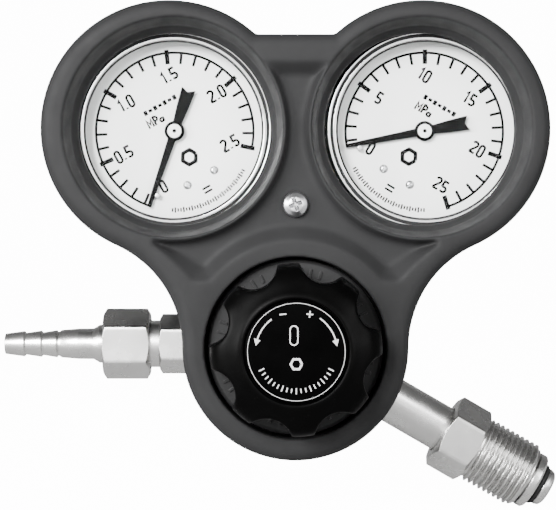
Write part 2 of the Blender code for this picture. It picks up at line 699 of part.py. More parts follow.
def build_guard():
    """Moulded guard: a hollow three-lobed shell with coned gauge openings, open at the back."""
    rings = [[(px, py, GUARD_BACK) for px, py in guard_outline()]]
    for turn in (0, 45, 90):
        inset = GUARD_EDGE * (1 - math.cos(math.radians(turn)))
        height = GUARD_FRONT - GUARD_EDGE * (1 - math.sin(math.radians(turn)))
        rings.append([(px, py, height) for px, py in guard_outline(inset)])
    guard = lofted("guard", rings, "guard_grey", ASSEMBLY)

    back = GUARD_BACK - 5
    inner = GUARD_FRONT - GUARD_WALL
    cavity = plate("guard_cavity", [guard_outline(GUARD_WALL)], back, inner, None, ASSEMBLY)
    collar = [(0, 40), (38.4, 40), (33.2, 17.0), (0, 17.0)]
    for number, centre in enumerate(OPENING_CENTRES):
        spot = (*centre, 0)
        cut(cavity, turned(f"gauge_collar_{number}", collar, None, ASSEMBLY, spot, SLIGHT_TURN, sides=30))
    outside = KNOB_OPENING + 2.4
    cut(cavity, prism("knob_collar", 15, 40, outside, None, ASSEMBLY, turn=SLIGHT_TURN, sides=30))
    pocket_back = POCKET_FLOOR - GUARD_WALL
    cut(cavity, plate("pocket_back", [pocket_outline(2.5)], pocket_back, 40, None, ASSEMBLY))
    cut(guard, cavity)

    opening = [(0, 40), (37.5, 40), (30.6, 16.4), (30.6, 10), (0, 10)]
    for number, centre in enumerate(OPENING_CENTRES):
        cut(guard, turned(f"gauge_opening_{number}", opening, None, ASSEMBLY, at=(*centre, 0), sides=30))
    cut(guard, prism("knob_opening", 5, 40, KNOB_OPENING, None, ASSEMBLY, sides=30))
    cut(guard, plate("pocket", [pocket_outline()], POCKET_FLOOR, 40, None, ASSEMBLY))
    cut(guard, prism("guard_screw_hole", 10, 40, 2.3, None, ASSEMBLY, at=(*SCREW_SPOT, 0), sides=16))
    for name, axis, radius in (("outlet", OUTLET, 11.0), ("inlet", INLET, 9.8)):
        cut(guard, prism(f"{name}_notch_round", 28, 42, radius, None, axis, sides=24))
        slot = block(f"{name}_notch_slot", (-0.1, -radius, 28), (-GUARD_BACK + 3, radius, 42), None, axis)
        cut(guard, slot)

    x, y = SCREW_SPOT
    head = [(0, 28.4), (2.2, 28.1), (3.6, 27.2), (4.1, 25.8), (1.5, 25.8), (1.5, 13), (0, 13)]
    screw = turned("guard_screw", head, "steel", ASSEMBLY, at=(x, y, 0), sides=16)
    for number, turn in enumerate((0, 90)):
        blade = block(f"guard_screw_slot_{number}", (-0.55, -2.3, 26.7), (0.55, 2.3, 30), None, ASSEMBLY)
        place(blade, ASSEMBLY, (x, y, 0), (0, 0, turn + 20))
        cut(screw, blade)

    strap = [(-8, 14.5), (8, 14.5), (8, 40), (6, y + 5), (2, y + 7), (-2, y + 7), (-6, y + 5), (-8, 40)]
    holes = [circle(2.1, spot[:2], 12) for spot in BRACKET_SCREWS.values()]
    holes.append(circle(2.2, (x, y), 12))
    plate("guard_bracket", [strap, *holes], DRUM_BACK - 2.8, DRUM_BACK - 0.3, "steel", ASSEMBLY)
    head_back = DRUM_BACK - 5.2
    shank = [(0, -9.2), (1.8, -9.2), (1.8, -16.1), (3.5, -16.1)]
    shank += [(3.5, head_back + 0.6), (2.6, head_back), (0, head_back)]
    for side, spot in BRACKET_SCREWS.items():
        turned(f"bracket_screw_{side}", shank, "steel", ASSEMBLY, at=spot, sides=16)
    standoff = prism("guard_standoff", -13.0, 22.2, 4.6, "nickel", ASSEMBLY, at=(x, y, 0))
    join(standoff, prism("standoff_rivet", -17.0, -12.0, 1.9, None, ASSEMBLY, at=(x, y, 0), sides=12))
    cut(standoff, prism("standoff_bore", 10, 30, 1.8, None, ASSEMBLY, at=(x, y, 0), sides=12))


def sector_outline():
    """Toothed sector with a hub at its pivot and a tail for the link, drawn at the zero reading."""
    outline = []
    for step in range(1, -10, -1):
        centre = math.pi / 2 + 2 * math.pi / SECTOR_TEETH * (step + 0.5)
        outline += reversed(polar(tooth(SECTOR_TEETH, centre, 0.7, 1.15), SECTOR_PIVOT))
    tail_angle = -SECTOR_SWING / 2
    tail = polar([(TAIL_LENGTH, math.radians(tail_angle))], SECTOR_PIVOT)[0]
    inner = polar([(4.0, math.radians(52)), (2.3, math.radians(30))], SECTOR_PIVOT)
    end = arc(tail, 1.2, tail_angle + 90, tail_angle - 90, 36)
    hub = arc(SECTOR_PIVOT, 2.2, tail_angle - 45, -255, 30)
    rising = polar([(4.0, math.radians(97))], SECTOR_PIVOT)
    return outline + inner + end + hub + rising, tail


def build_gauge(side):
    """One pressure gauge: case, window, dial, pointer and the whole movement behind the dial."""
    direction, reach = gauge_direction(side)
    x, y = GAUGE_CENTRES[side]
    axis = new_axis(f"{side}_gauge_axis", ASSEMBLY, at=(x, y, 0), turn=(0, 0, direction - 90))

    inner = CASE_RADIUS - CASE_WALL
    case_profile = [
        (0, CASE_BACK + CASE_WALL),
        (inner, CASE_BACK + CASE_WALL),
        (inner, CASE_FRONT),
        (CASE_RADIUS, CASE_FRONT),
        (CASE_RADIUS, CASE_BACK + 1.5),
        (CASE_RADIUS - 1.5, CASE_BACK),
        (0, CASE_BACK),
    ]
    case = turned(f"{side}_gauge_case", case_profile, "black", axis, sides=24)
    cut(case, prism(f"{side}_case_hole", 20, 40, 6.0, None, axis, turn=(90, 0, 0), sides=16))
    bezel_profile = [
        (WINDOW_RADIUS, BEZEL_FRONT - 0.5),
        (WINDOW_RADIUS + 0.6, BEZEL_FRONT),
        (BEZEL_RADIUS - 0.7, BEZEL_FRONT),
        (BEZEL_RADIUS, BEZEL_FRONT - 0.7),
        (BEZEL_RADIUS, 8),
        (CASE_RADIUS + 0.3, 8),
        (CASE_RADIUS + 0.3, 15.2),
        (WINDOW_RADIUS, 15.2),
    ]
    turned(f"{side}_bezel", bezel_profile, "nickel", axis, sides=26, ring=True)
    turned(f"{side}_window", [(0, 15.0), (31.0, 15.0), (31.0, 13.2), (0, 13.2)], "clear", axis, sides=24)
    dial_front = DIAL_BACK + DIAL_THICKNESS
    dial_profile = [(1.6, dial_front), (29.6, dial_front), (29.6, DIAL_BACK), (1.6, DIAL_BACK)]
    dial = turned(f"{side}_dial", dial_profile, "white", axis, sides=24, ring=True)
    stop = polar([(21.6, math.radians(ZERO_ANGLE + 4.8))])[0]
    join(dial, prism(f"{side}_stop_pin", DIAL_BACK + 0.1, 10.9, 0.7, None, axis, at=(*stop, 0), sides=8))

    needle = [(0.25, POINTER_REACH), (0.9, 6), (1.1, 2.2)]
    tail = [(1.0, -2.4), (1.15, -4), (1.75, -POINTER_TAIL)]
    right = needle + arc((0, 0), 2.7, 60, -60, 20) + tail
    pointer_shape = [*right, *[(-px, py) for px, py in reversed(right)]]
    pointer_axis = new_axis(f"{side}_pointer_axis", axis)
    plate(
        f"{side}_pointer",
        [pointer_shape, circle(0.85, count=10)],
        POINTER_BACK,
        POINTER_BACK + 0.4,
        "black",
        pointer_axis,
        turn=(0, 0, ZERO_ANGLE - 90),
    )
    pinion_teeth = []
    for number in range(PINION_TEETH):
        centre = -math.pi / 2 + 2 * math.pi * number / PINION_TEETH
        pinion_teeth += tooth(PINION_TEETH, centre, 0.85, 1.1)
    pinion = plate(f"{side}_pinion", [polar(pinion_teeth)], -2.2, 0.2, "brass", pointer_axis)
    join(pinion, prism(f"{side}_arbor", -3.4, 11.0, 0.5, None, pointer_axis, sides=10))

    sector_shape, tail_pin = sector_outline()
    sector_axis = new_axis(f"{side}_sector_axis", axis, at=(*SECTOR_PIVOT, 0))
    shifted = [(px - SECTOR_PIVOT[0], py - SECTOR_PIVOT[1]) for px, py in sector_shape]
    sector = plate(f"{side}_sector_gear", [shifted], -1.5, -0.5, "brass", sector_axis)
    join(sector, prism(f"{side}_sector_arbor", -3.4, 3.5, 0.5, None, sector_axis, sides=10))
    tail_local = (tail_pin[0] - SECTOR_PIVOT[0], tail_pin[1] - SECTOR_PIVOT[1], 0)
    join(sector, prism(f"{side}_tail_pin", -1.0, 1.0, 0.4, None, sector_axis, at=tail_local, sides=8))

    length = math.dist(tail_pin, TIP_PIN)
    lean = math.degrees(math.atan2(TIP_PIN[1] - tail_pin[1], TIP_PIN[0] - tail_pin[0]))
    link_axis = new_axis(f"{side}_link_axis", axis, at=(*tail_pin, 0), turn=(0, 0, lean))
    bar = arc((0, 0), 1.1, 90, 270, 36) + arc((length, 0), 1.3, -90, 90, 36)
    holes = [circle(0.65, count=8), circle(0.85, (length, 0), 8)]
    plate(f"{side}_link", [bar, *holes], 0.0, 0.6, "brass", link_axis)

    tube_rings = []
    for step in range(21):
        angle = math.radians(248 - 244 * step / 20)
        oval = [(TUBE_RADIUS + 1.3 * px, 4.0 * py) for px, py in circle(1, count=8)]
        tube_rings.append([(r * math.cos(angle), r * math.sin(angle), h) for r, h in oval])
    lofted(f"{side}_bourdon_tube", tube_rings, "brass", axis)
    tip_axis = new_axis(f"{side}_tip_axis", axis, at=(*TIP_PIVOT, 0))
    tip = block(f"{side}_tube_tip", (18.6, -4.0, -3.4), (21.6, 0.6, 3.4), "brass", tip_axis)
    place(tip, tip_axis, (-TIP_PIVOT[0], -TIP_PIVOT[1], 0), (0, 0, 0))
    join(tip, block(f"{side}_tip_lug", (15.2, -2.3, -1.3), (19.0, -0.1, -0.4), None, axis))
    join(tip, prism(f"{side}_tip_pin", -1.0, 1.0, 0.45, None, axis, at=(*TIP_PIN, 0), sides=8))

    frame_shape = [(-7.5, -16.8), (7.0, -16.8), (7.0, -6), (4.5, 4.2), (-7.5, 4.2)]
    bores = [circle(0.9, count=8), circle(0.9, SECTOR_PIVOT, 8)]
    frame = plate(f"{side}_movement_frame", [frame_shape, *bores], -3.6, -2.8, "brass", axis)
    join(frame, plate(f"{side}_frame_top", [frame_shape, *bores], 3.0, 3.8, None, axis))
    for number, spot in enumerate(((-6.0, -15.2), (-6.0, 2.7))):
        join(frame, prism(f"{side}_pillar_{number}", -3.2, 3.4, 1.0, None, axis, at=(*spot, 0), sides=8))

    socket = block(f"{side}_gauge_socket", (-6, -29.0, -5), (6, -17.6, 5), "brass", axis)
    join(socket, block(f"{side}_socket_tongue", (-5, -18.5, -5), (5, -9, -4.0), None, axis))
    stem = [(0, 27), (5.5, 27), (5.5, reach - 46.0), (4.6, reach - 45.5), (4.6, reach - PORT_FACE - 0.5)]
    stem += [(6.4, reach - PORT_FACE - 0.5), (6.4, reach - 23.4), (5.8, reach - 22.8), (0, reach - 22.8)]
    stem = [(r, h) for r, h in reversed(stem)]
    join(socket, turned(f"{side}_stem", stem, None, axis, turn=(90, 0, 0), sides=16))
    hex_range = (reach - 45.4, reach - PORT_FACE - 0.4)
    join(socket, chamfered_hex(f"{side}_socket_hex", *hex_range, 14, None, axis, turn=(90, 0, 0)))
    cut(socket, prism(f"{side}_socket_bore", 20, reach, 1.4, None, axis, turn=(90, 0, 0), sides=8))

    spiral = []
    turns, per_turn = 3, 8
    for i in range(turns * per_turn + 1):
        angle = 2 * math.pi * i / per_turn
        radius = 1.2 + 3.2 * i / (turns * per_turn)
        spiral.append((radius * math.cos(angle), radius * math.sin(angle), 1.9))
    wire(f"{side}_hairspring", spiral, 0.35, "brass", axis)


build_body()
build_knob(build_pressure_side())
build_inlet()
build_outlet()
build_relief_valve()
build_guard()
for gauge in GAUGE_CENTRES:
    build_gauge(gauge)
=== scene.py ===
"""Looks for the twin-gauge oxygen cylinder regulator, on the fixed CAD frame.

Shapes are given in millimetres in the assembly frame: X right, Y up, Z towards the viewer, with depths
counted from the plane of the gauge, inlet and outlet ports. MODEL turns them into the row frame.
"""

import json
import math

import bmesh
import bpy
from mathutils import Matrix, Vector


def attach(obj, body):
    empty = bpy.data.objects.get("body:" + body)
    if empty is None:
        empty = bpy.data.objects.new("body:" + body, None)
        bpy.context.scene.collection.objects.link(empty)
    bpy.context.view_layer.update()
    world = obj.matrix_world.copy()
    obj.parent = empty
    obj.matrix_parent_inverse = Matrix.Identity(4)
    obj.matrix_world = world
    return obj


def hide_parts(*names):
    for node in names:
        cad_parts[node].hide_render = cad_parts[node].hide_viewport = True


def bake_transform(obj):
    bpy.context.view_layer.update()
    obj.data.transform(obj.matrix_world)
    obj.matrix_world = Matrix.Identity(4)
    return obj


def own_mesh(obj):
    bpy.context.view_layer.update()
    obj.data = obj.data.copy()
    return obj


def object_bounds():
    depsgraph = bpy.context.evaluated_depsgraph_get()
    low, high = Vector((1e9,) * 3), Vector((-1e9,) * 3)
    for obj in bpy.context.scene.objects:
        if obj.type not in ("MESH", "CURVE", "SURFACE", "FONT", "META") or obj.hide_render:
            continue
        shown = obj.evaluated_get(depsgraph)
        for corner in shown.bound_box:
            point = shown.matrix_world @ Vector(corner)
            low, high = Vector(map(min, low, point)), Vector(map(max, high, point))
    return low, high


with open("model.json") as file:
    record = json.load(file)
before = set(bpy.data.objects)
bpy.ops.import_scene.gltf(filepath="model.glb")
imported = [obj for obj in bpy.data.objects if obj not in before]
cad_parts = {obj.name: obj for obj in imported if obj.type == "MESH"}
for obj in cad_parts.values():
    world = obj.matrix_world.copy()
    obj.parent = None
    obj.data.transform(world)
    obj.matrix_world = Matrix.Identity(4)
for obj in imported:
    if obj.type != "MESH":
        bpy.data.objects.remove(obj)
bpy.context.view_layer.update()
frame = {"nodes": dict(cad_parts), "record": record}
JOINTS = {joint["name"]: joint for joint in frame["record"]["behaviour"]["joints"]}
PORT_Y = JOINTS["left_pointer_turn"]["pos_m"][1]
MM = 0.001
MODEL = Matrix.Translation((0, PORT_Y, 0)) @ Matrix.Rotation(math.pi / 2, 4, "X") @ Matrix.Scale(MM, 4)

SWEEP = JOINTS["left_pointer_turn"]["range_deg"][1]
ZERO_ANGLE = 90 + SWEEP / 2
HOOD_CENTRE = (39.5, 68.3)
OPENINGS = ((-38.0, 68.4), (39.2, 68.4))
GUARD_SCREW = (0.0, 44.5)
STRAP_SCREWS = {"left": (-5.0, 20.3), "right": (5.0, 20.3)}
RELIEF_SPOT = (-11.1, -15.9)
FACE_FORWARD = math.pi / 6
GAUGES = {}
for gauge_side in ("left", "right"):
    spot = JOINTS[f"{gauge_side}_pointer_turn"]["pos_m"]
    GAUGES[gauge_side] = (spot[0] / MM, spot[2] / MM)


def radial(angle):
    """The frame of a port: Z runs outwards from the knob's axis at that angle."""
    return MODEL @ Matrix.Rotation(math.radians(angle), 4, "Z") @ Matrix.Rotation(math.pi / 2, 4, "Y")


OUTLET = radial(180)
INLET = radial(-30)


def gauge_frame(side):
    """The frame of a gauge: Z is the pointer's axis, and Y points away from the knob."""
    x, y = GAUGES[side]
    lean = math.atan2(y, x) - math.pi / 2
    return MODEL @ Matrix.Translation((x, y, 0)) @ Matrix.Rotation(lean, 4, "Z")


# ---------------------------------------------------------------- materials


def new_nodes(name):
    """A new material with its node tree and its shader."""
    made = bpy.data.materials.new(name)
    made.use_nodes = True
    tree = made.node_tree
    return made, tree, tree.nodes["Principled BSDF"]


def add(tree, kind, **values):
    """A node with its settings or inputs filled in. An input can be linked to another node's output."""
    node = tree.nodes.new(kind)
    for key, value in values.items():
        if isinstance(value, bpy.types.NodeSocket):
            tree.links.new(value, node.inputs[key])
        elif key in node.inputs:
            node.inputs[key].default_value = value
        else:
            setattr(node, key, value)
    return node


def mixed(tree, factor, first, second):
    """A colour mix. Each colour is a socket or a value."""
    node = tree.nodes.new("ShaderNodeMix")
    node.data_type = "RGBA"
    tree.links.new(factor, node.inputs[0])
    for socket, value in ((node.inputs[6], first), (node.inputs[7], second)):
        if isinstance(value, tuple):
            socket.default_value = (*value, 1.0)
        else:
            tree.links.new(value, socket)
    return node.outputs[2]


def ranged(tree, value, low, high, to_low, to_high):
    """The value moved from one range to another and held inside it."""
    node = add(tree, "ShaderNodeMapRange", Value=value)
    for socket, number in zip(node.inputs[1:5], (low, high, to_low, to_high)):
        socket.default_value = number
    return node.outputs[0]


def shader_mix(tree, factor, first, second):
    node = add(tree, "ShaderNodeMixShader")
    for socket, source in zip(node.inputs, (factor, first, second)):
        tree.links.new(source, socket)
    return node.outputs[0]


def noise(tree, coords, per_mm, detail=3.0, rough=0.55):
    """Noise with that many cells to the millimetre, over the row frame."""
    spots = add(tree, "ShaderNodeMapping", Scale=[per_mm / MM] * 3, Vector=coords).outputs[0]
    node = add(tree, "ShaderNodeTexNoise", Scale=1.0, Detail=detail, Roughness=rough, Vector=spots)
    return node.outputs["Fac"]


def surface(name, base, roughness, metallic=0.0, **look):
    """A finish with mottled colour, flecks, uneven roughness, fine grain, worn edges and painted shade in
    hollows.

    look: spread of the colour, fleck and fleck_colour, edge (its radius in mm), wear and worn (its
    colour), hollow (its reach in mm) and the strength of its painted shade (which also stands for
    grime), grain (cells per mm) and its depth in mm, uneven roughness, specular.
    """
    made, tree, shader = new_nodes(name)
    links = tree.links
    coords = add(tree, "ShaderNodeTexCoord").outputs["Object"]
    spread = look.get("spread", 0.12)
    cloud = noise(tree, coords, 0.06, 4.0)
    dark = tuple(c * (1 - spread) for c in base)
    light = tuple(min(1.0, c * (1 + spread)) for c in base)
    factor = ranged(tree, cloud, 0.3, 0.7, 0.0, 1.0)
    colour = mixed(tree, factor, dark, light)
    speck = noise(tree, coords, 1.1, 2.0)
    flecks = ranged(tree, speck, 0.64, 0.78, 0.0, look.get("fleck", 0.25))
    colour = mixed(tree, flecks, colour, look.get("fleck_colour", light))

    bevel = add(tree, "ShaderNodeBevel", Radius=look.get("edge", 0.25) * MM)
    bevel.samples = 4
    geometry = add(tree, "ShaderNodeNewGeometry")
    dot = add(tree, "ShaderNodeVectorMath", operation="DOT_PRODUCT", Vector=bevel.outputs[0])
    links.new(geometry.outputs["Normal"], dot.inputs[1])
    edge = ranged(tree, dot.outputs["Value"], 0.97, 0.8, 0.0, look.get("wear", 0.4))
    broken = add(tree, "ShaderNodeMath", operation="MULTIPLY", Value=edge)
    links.new(ranged(tree, noise(tree, coords, 0.5, 3.0), 0.35, 0.65, 0.3, 1.0), broken.inputs[1])
    colour = mixed(tree, broken.outputs[0], colour, look.get("worn", light))
    # Painted shade, which also stands for grime: where ambient occlusion finds hollows and nearby parts,
    # the colour is darkened towards 0.12 of the base.
    cavity = add(tree, "ShaderNodeAmbientOcclusion", samples=4, Distance=look.get("hollow", 1.6) * MM)
    grime = ranged(tree, cavity.outputs["AO"], 0.75, 0.25, 0.0, look.get("grime", 0.35))
    colour = mixed(tree, grime, colour, tuple(c * 0.12 for c in base))
    links.new(colour, shader.inputs["Base Color"])

    fine = noise(tree, coords, look.get("grain", 3.0), 3.0, 0.6)
    uneven = look.get("uneven", 0.08)
    smear = ranged(tree, noise(tree, coords, 0.15, 5.0), 0.3, 0.7, roughness - uneven, roughness + uneven)
    links.new(smear, shader.inputs["Roughness"])
    depth = look.get("depth", 0.02) * MM
    bump = add(tree, "ShaderNodeBump", Strength=0.5, Distance=depth, Height=fine, Normal=bevel.outputs[0])
    links.new(bump.outputs[0], shader.inputs["Normal"])
    shader.inputs["Metallic"].default_value = metallic
    shader.inputs["Specular IOR Level"].default_value = look.get("specular", 0.5)
    return made


WINDOW_GLINT = 0.16
WINDOW_HAZE = 0.004


def glass_material():
    """A thin clear window: mostly see-through, with a reflection that grows towards grazing angles."""
    made, tree, shader = new_nodes("clear_window")
    links = tree.links
    coords = add(tree, "ShaderNodeTexCoord").outputs["Object"]
    smudge = noise(tree, coords, 0.12, 4.0)
    clear = add(tree, "ShaderNodeBsdfTransparent", Color=(0.985, 0.99, 0.99, 1))
    links.new(ranged(tree, smudge, 0.4, 0.7, 0.02, 0.07), shader.inputs["Roughness"])
    shader.inputs["Base Color"].default_value = (0.9, 0.92, 0.93, 1)
    fresnel = add(tree, "ShaderNodeFresnel", IOR=1.4)
    weak = add(tree, "ShaderNodeMath", operation="MULTIPLY", Value=fresnel.outputs[0])
    weak.inputs[1].default_value = WINDOW_GLINT
    glint = add(tree, "ShaderNodeBsdfGlossy", Roughness=0.04)
    pane = shader_mix(tree, weak.outputs[0], clear.outputs[0], glint.outputs[0])
    haze = ranged(tree, smudge, 0.55, 0.8, 0.0, WINDOW_HAZE)
    pane = shader_mix(tree, haze, pane, shader.outputs[0])
    shadow = add(tree, "ShaderNodeLightPath").outputs["Is Shadow Ray"]
    pane = shader_mix(tree, shadow, pane, add(tree, "ShaderNodeBsdfTransparent").outputs[0])
    links.new(pane, tree.nodes["Material Output"].inputs["Surface"])
    return made


def grey(value):
    return (value, value, value)


FINISH = {
    # The guard gets a long reach and strong painted shade in its hollows, which darkens the walls of its
    # openings.
    "guard": surface(
        "guard_plastic", (0.0138, 0.0138, 0.0141), 0.55, spread=0.09, grain=2.2, depth=0.03, edge=0.5,
        worn=grey(0.035), wear=0.35, fleck=0.15, specular=0.06, hollow=5.0, grime=0.85,
    ),
    "bonnet": surface(
        "bonnet_paint", (0.017, 0.017, 0.0172), 0.45, spread=0.08, grain=1.4, depth=0.03, edge=0.35,
        worn=grey(0.06), wear=0.5, fleck=0.2, specular=0.07,
    ),
    "knob": surface(
        "knob_plastic", grey(0.0008), 0.34, spread=0.25, grain=1.8, depth=0.015, edge=0.4,
        worn=grey(0.004), wear=0.5, fleck=0.2, specular=0.025,
    ),
    "disc": surface(
        "knob_disc_print", grey(0.0004), 0.34, spread=0.25, grain=3.0, depth=0.005, edge=0.2,
        worn=grey(0.003), wear=0.4, fleck=0.1, specular=0.01,
    ),
    "nickel": surface(
        "satin_nickel", (0.63, 0.625, 0.615), 0.26, 1.0, spread=0.06, grain=5.0, depth=0.006, edge=0.22,
        worn=(0.88, 0.87, 0.85), wear=0.5, fleck=0.15, fleck_colour=(0.52, 0.51, 0.5), uneven=0.05,
    ),
    "chrome": surface(
        "bezel_chrome", grey(0.8), 0.12, 1.0, spread=0.03, grain=4.0, depth=0.002, edge=0.15,
        worn=grey(0.9), wear=0.3, fleck=0.08, uneven=0.04,
    ),
    "brass": surface(
        "machined_brass", (0.52, 0.40, 0.19), 0.34, 1.0, spread=0.12, grain=4.0, depth=0.01, edge=0.25,
        worn=(0.72, 0.58, 0.32), wear=0.5, fleck=0.3, fleck_colour=(0.3, 0.2, 0.09),
    ),
    "steel": surface(
        "zinc_steel", (0.56, 0.56, 0.57), 0.3, 1.0, spread=0.1, grain=5.0, depth=0.008, edge=0.15,
        worn=grey(0.8), wear=0.5, fleck=0.3, fleck_colour=grey(0.3),
    ),
    "case": surface(
        "case_enamel", grey(0.016), 0.36, spread=0.15, grain=1.2, depth=0.02, edge=0.3,
        worn=grey(0.05), wear=0.5, fleck=0.2,
    ),
    "dial": surface(
        "dial_white", (0.88, 0.88, 0.87), 0.5, spread=0.012, grain=4.0, depth=0.004, edge=0.05,
        worn=grey(0.9), wear=0.1, fleck=0.05, fleck_colour=(0.8, 0.8, 0.78), grime=0.12,
    ),
    "ink": surface(
        "dial_ink", grey(0.0015), 0.55, spread=0.2, grain=6.0, depth=0.004, edge=0.02, wear=0.0,
        specular=0.03,
    ),
    "pointer": surface(
        "pointer_black", grey(0.0012), 0.5, spread=0.2, grain=5.0, depth=0.006, edge=0.06,
        worn=grey(0.005), wear=0.3, specular=0.03,
    ),
    "print": surface(
        "white_print", grey(0.42), 0.45, spread=0.05, grain=6.0, depth=0.006, edge=0.02, wear=0.0,
        fleck=0.3, fleck_colour=grey(0.25),
    ),
    "rubber": surface(
        "seal_rubber", grey(0.009), 0.7, spread=0.2, grain=3.0, depth=0.03, edge=0.2,
        worn=grey(0.03), wear=0.3, specular=0.2,
    ),
    "glass": glass_material(),
}

# ---------------------------------------------------------------- mesh tools


def meshed(name, shape):
    """A mesh made from a bmesh, which is then freed."""
    mesh = bpy.data.meshes.new(name)
    shape.to_mesh(mesh)
    shape.free()
    return mesh


def placed(name, data):
    """A new object in the scene."""
    obj = bpy.data.objects.new(name, data)
    bpy.context.scene.collection.objects.link(obj)
    return obj


def piece(name, shape, finish, replaced=None, place=MODEL, body="regulator", sharp=32.0):
    """Turns a bmesh in millimetres into a piece that rides on a body.

    replaced is the CAD node it stands for, and edges over sharp degrees stay hard.
    """
    bmesh.ops.transform(shape, matrix=place, verts=shape.verts)
    bmesh.ops.recalc_face_normals(shape, faces=shape.faces)
    mesh = meshed(name, shape)
    mesh.shade_smooth()
    mesh.set_sharp_from_angle(angle=math.radians(sharp))
    mesh.materials.append(FINISH[finish])
    obj = placed(name, mesh)
    if body:
        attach(obj, body)
    if replaced:
        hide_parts(replaced)
    return obj


def skin(shape, rings):
    """Adds the faces between neighbouring rings of vertices."""
    for a, b in zip(rings, rings[1:]):
        for k in range(len(a)):
            j = (k + 1) % len(a)
            shape.faces.new((a[k], a[j], b[j], b[k]))


FILLET_STEPS = 4


def rounded(points, closed):
    """Rounds the corners of a profile. Each point is (radius, height) or (radius, height, fillet)."""
    out = []
    count = len(points)
    for i, point in enumerate(points):
        here = Vector(point[:2])
        size = point[2] if len(point) > 2 else 0.0
        if size <= 0 or (not closed and i in (0, count - 1)):
            out.append(tuple(here))
            continue
        before = Vector(points[i - 1][:2]) - here
        after = Vector(points[(i + 1) % count][:2]) - here
        half = before.angle(after) / 2
        reach = min(size / math.tan(half), before.length * 0.49, after.length * 0.49)
        start = here + before.normalized() * reach
        end = here + after.normalized() * reach
        for k in range(FILLET_STEPS + 1):
            t = k / FILLET_STEPS
            out.append(tuple((1 - t) ** 2 * start + 2 * t * (1 - t) * here + t * t * end))
    return out


def lathe(shape, points, sides, wobble=None):
    """Adds a shape turned about Z to the bmesh. A profile that ends on the axis isn't closed."""
    closed = points[-1][0] > 0
    rings = []
    for radius, height in rounded(points, closed):
        if radius == 0:
            rings.append([shape.verts.new((0, 0, height))])
            continue
        ring = []
        for k in range(sides):
            angle = 2 * math.pi * k / sides
            r = radius if wobble is None else wobble(radius, height, angle)
            ring.append(shape.verts.new((r * math.cos(angle), r * math.sin(angle), height)))
        rings.append(ring)
    pairs = list(zip(rings, rings[1:]))
    if closed:
        pairs.append((rings[-1], rings[0]))
    for first, second in pairs:
        if len(first) == 1 and len(second) == 1:
            continue
        for k in range(sides):
            j = (k + 1) % sides
            if len(first) == 1:
                shape.faces.new((first[0], second[j], second[k]))
            elif len(second) == 1:
                shape.faces.new((first[k], first[j], second[0]))
            else:
                shape.faces.new((first[k], first[j], second[j], second[k]))
    return shape


def turned(points, sides):
    """A turned shape in a bmesh of its own."""
    return lathe(bmesh.new(), points, sides)


def rod(radius, first, last, sides):
    """A plain cylinder from one height to another."""
    return turned([(0, first), (radius, first), (radius, last), (0, last)], sides)


HEX_SIDES = 144


def hexagon(shape, low, high, flats, bore, crown=0.5, turn=0.0):
    """Adds a hexagon whose corners are turned off in arcs, with a plain bore."""
    widest = flats / 2 / math.cos(math.pi / 6) - 0.12
    turned_radius = flats / 2 * 0.985
    rows = []
    for k in range(HEX_SIDES):
        angle = 2 * math.pi * k / HEX_SIDES
        from_flat = (angle - turn) % (math.pi / 3) - math.pi / 6
        r = min(flats / 2 / math.cos(from_flat), widest)
        drop = max(0.0, r - turned_radius) * crown
        spots = [(bore, low), (turned_radius, low), (r, low + drop)]
        spots += [(r, high - drop), (turned_radius, high), (bore, high)]
        c, s = math.cos(angle), math.sin(angle)
        rows.append([shape.verts.new((q * c, q * s, h)) for q, h in spots])
    skin(shape, rows + rows[:1])
    return shape


THREAD_ROWS = 10


def thread(shape, crest, root, pitch, low, high, bore, sides):
    """Adds a tube with a helical thread outside that runs out at both ends."""
    rows = int((high - low) / pitch * THREAD_ROWS)
    grid = []
    for i in range(rows + 1):
        height = low + (high - low) * i / rows
        fade = min(1.0, max(0.0, min(height - low - 0.3, high - height - 0.2) / (0.7 * pitch)))
        ring = []
        for k in range(sides):
            phase = ((height - low) / pitch - k / sides) % 1.0
            tooth = 1 - abs(2 * phase - 1)
            tooth = min(1.0, max(0.0, (tooth - 0.12) / 0.72))
            r = root + (crest - root) * tooth * fade
            if i in (0, rows):
                r = root - 0.25
            angle = 2 * math.pi * k / sides
            ring.append(shape.verts.new((r * math.cos(angle), r * math.sin(angle), height)))
        grid.append(ring)
    for height in (high, low):
        ring = []
        for k in range(sides):
            angle = 2 * math.pi * k / sides
            ring.append(shape.verts.new((bore * math.cos(angle), bore * math.sin(angle), height)))
        grid.append(ring)
    skin(shape, grid + grid[:1])
    return shape


def sweep(points, section):
    """A tube of any section along a path, capped at both ends. The section is given across (side, Z)."""
    shape = bmesh.new()
    rings = []
    count = len(points)
    for i, point in enumerate(points):
        here = Vector(point)
        ahead = Vector(points[min(i + 1, count - 1)]) - Vector(points[max(i - 1, 0)])
        side = ahead.cross(Vector((0, 0, 1))).normalized()
        up = side.cross(ahead.normalized())
        rings.append([shape.verts.new(here + side * a + up * b) for a, b in section])
    skin(shape, rings)
    shape.faces.new(rings[0])
    shape.faces.new(rings[-1])
    return shape


def ellipse(across, up, count):
    steps = [2 * math.pi * k / count for k in range(count)]
    return [(across * math.cos(a), up * math.sin(a)) for a in steps]


COIL_STEPS = 40
WIRE_SIDES = 14


def coil(radius, low, high, turns, thickness, ends=0.75):
    """A spring with that many closed turns at each end."""
    path = []
    for i in range(round(turns * COIL_STEPS) + 1):
        turn = i / COIL_STEPS
        inner = min(max(turn - ends, 0) / (turns - 2 * ends), 1)
        angle = 2 * math.pi * turn
        path.append((radius * math.cos(angle), radius * math.sin(angle), low + (high - low) * inner))
    return sweep(path, ellipse(thickness / 2, thickness / 2, WIRE_SIDES))


def polar(radius, degrees):
    angle = math.radians(degrees)
    return (radius * math.cos(angle), radius * math.sin(angle))


def arc(centre, radius, first, last, count):
    angles = [math.radians(first + (last - first) * i / count) for i in range(count + 1)]
    return [(centre[0] + radius * math.cos(a), centre[1] + radius * math.sin(a)) for a in angles]


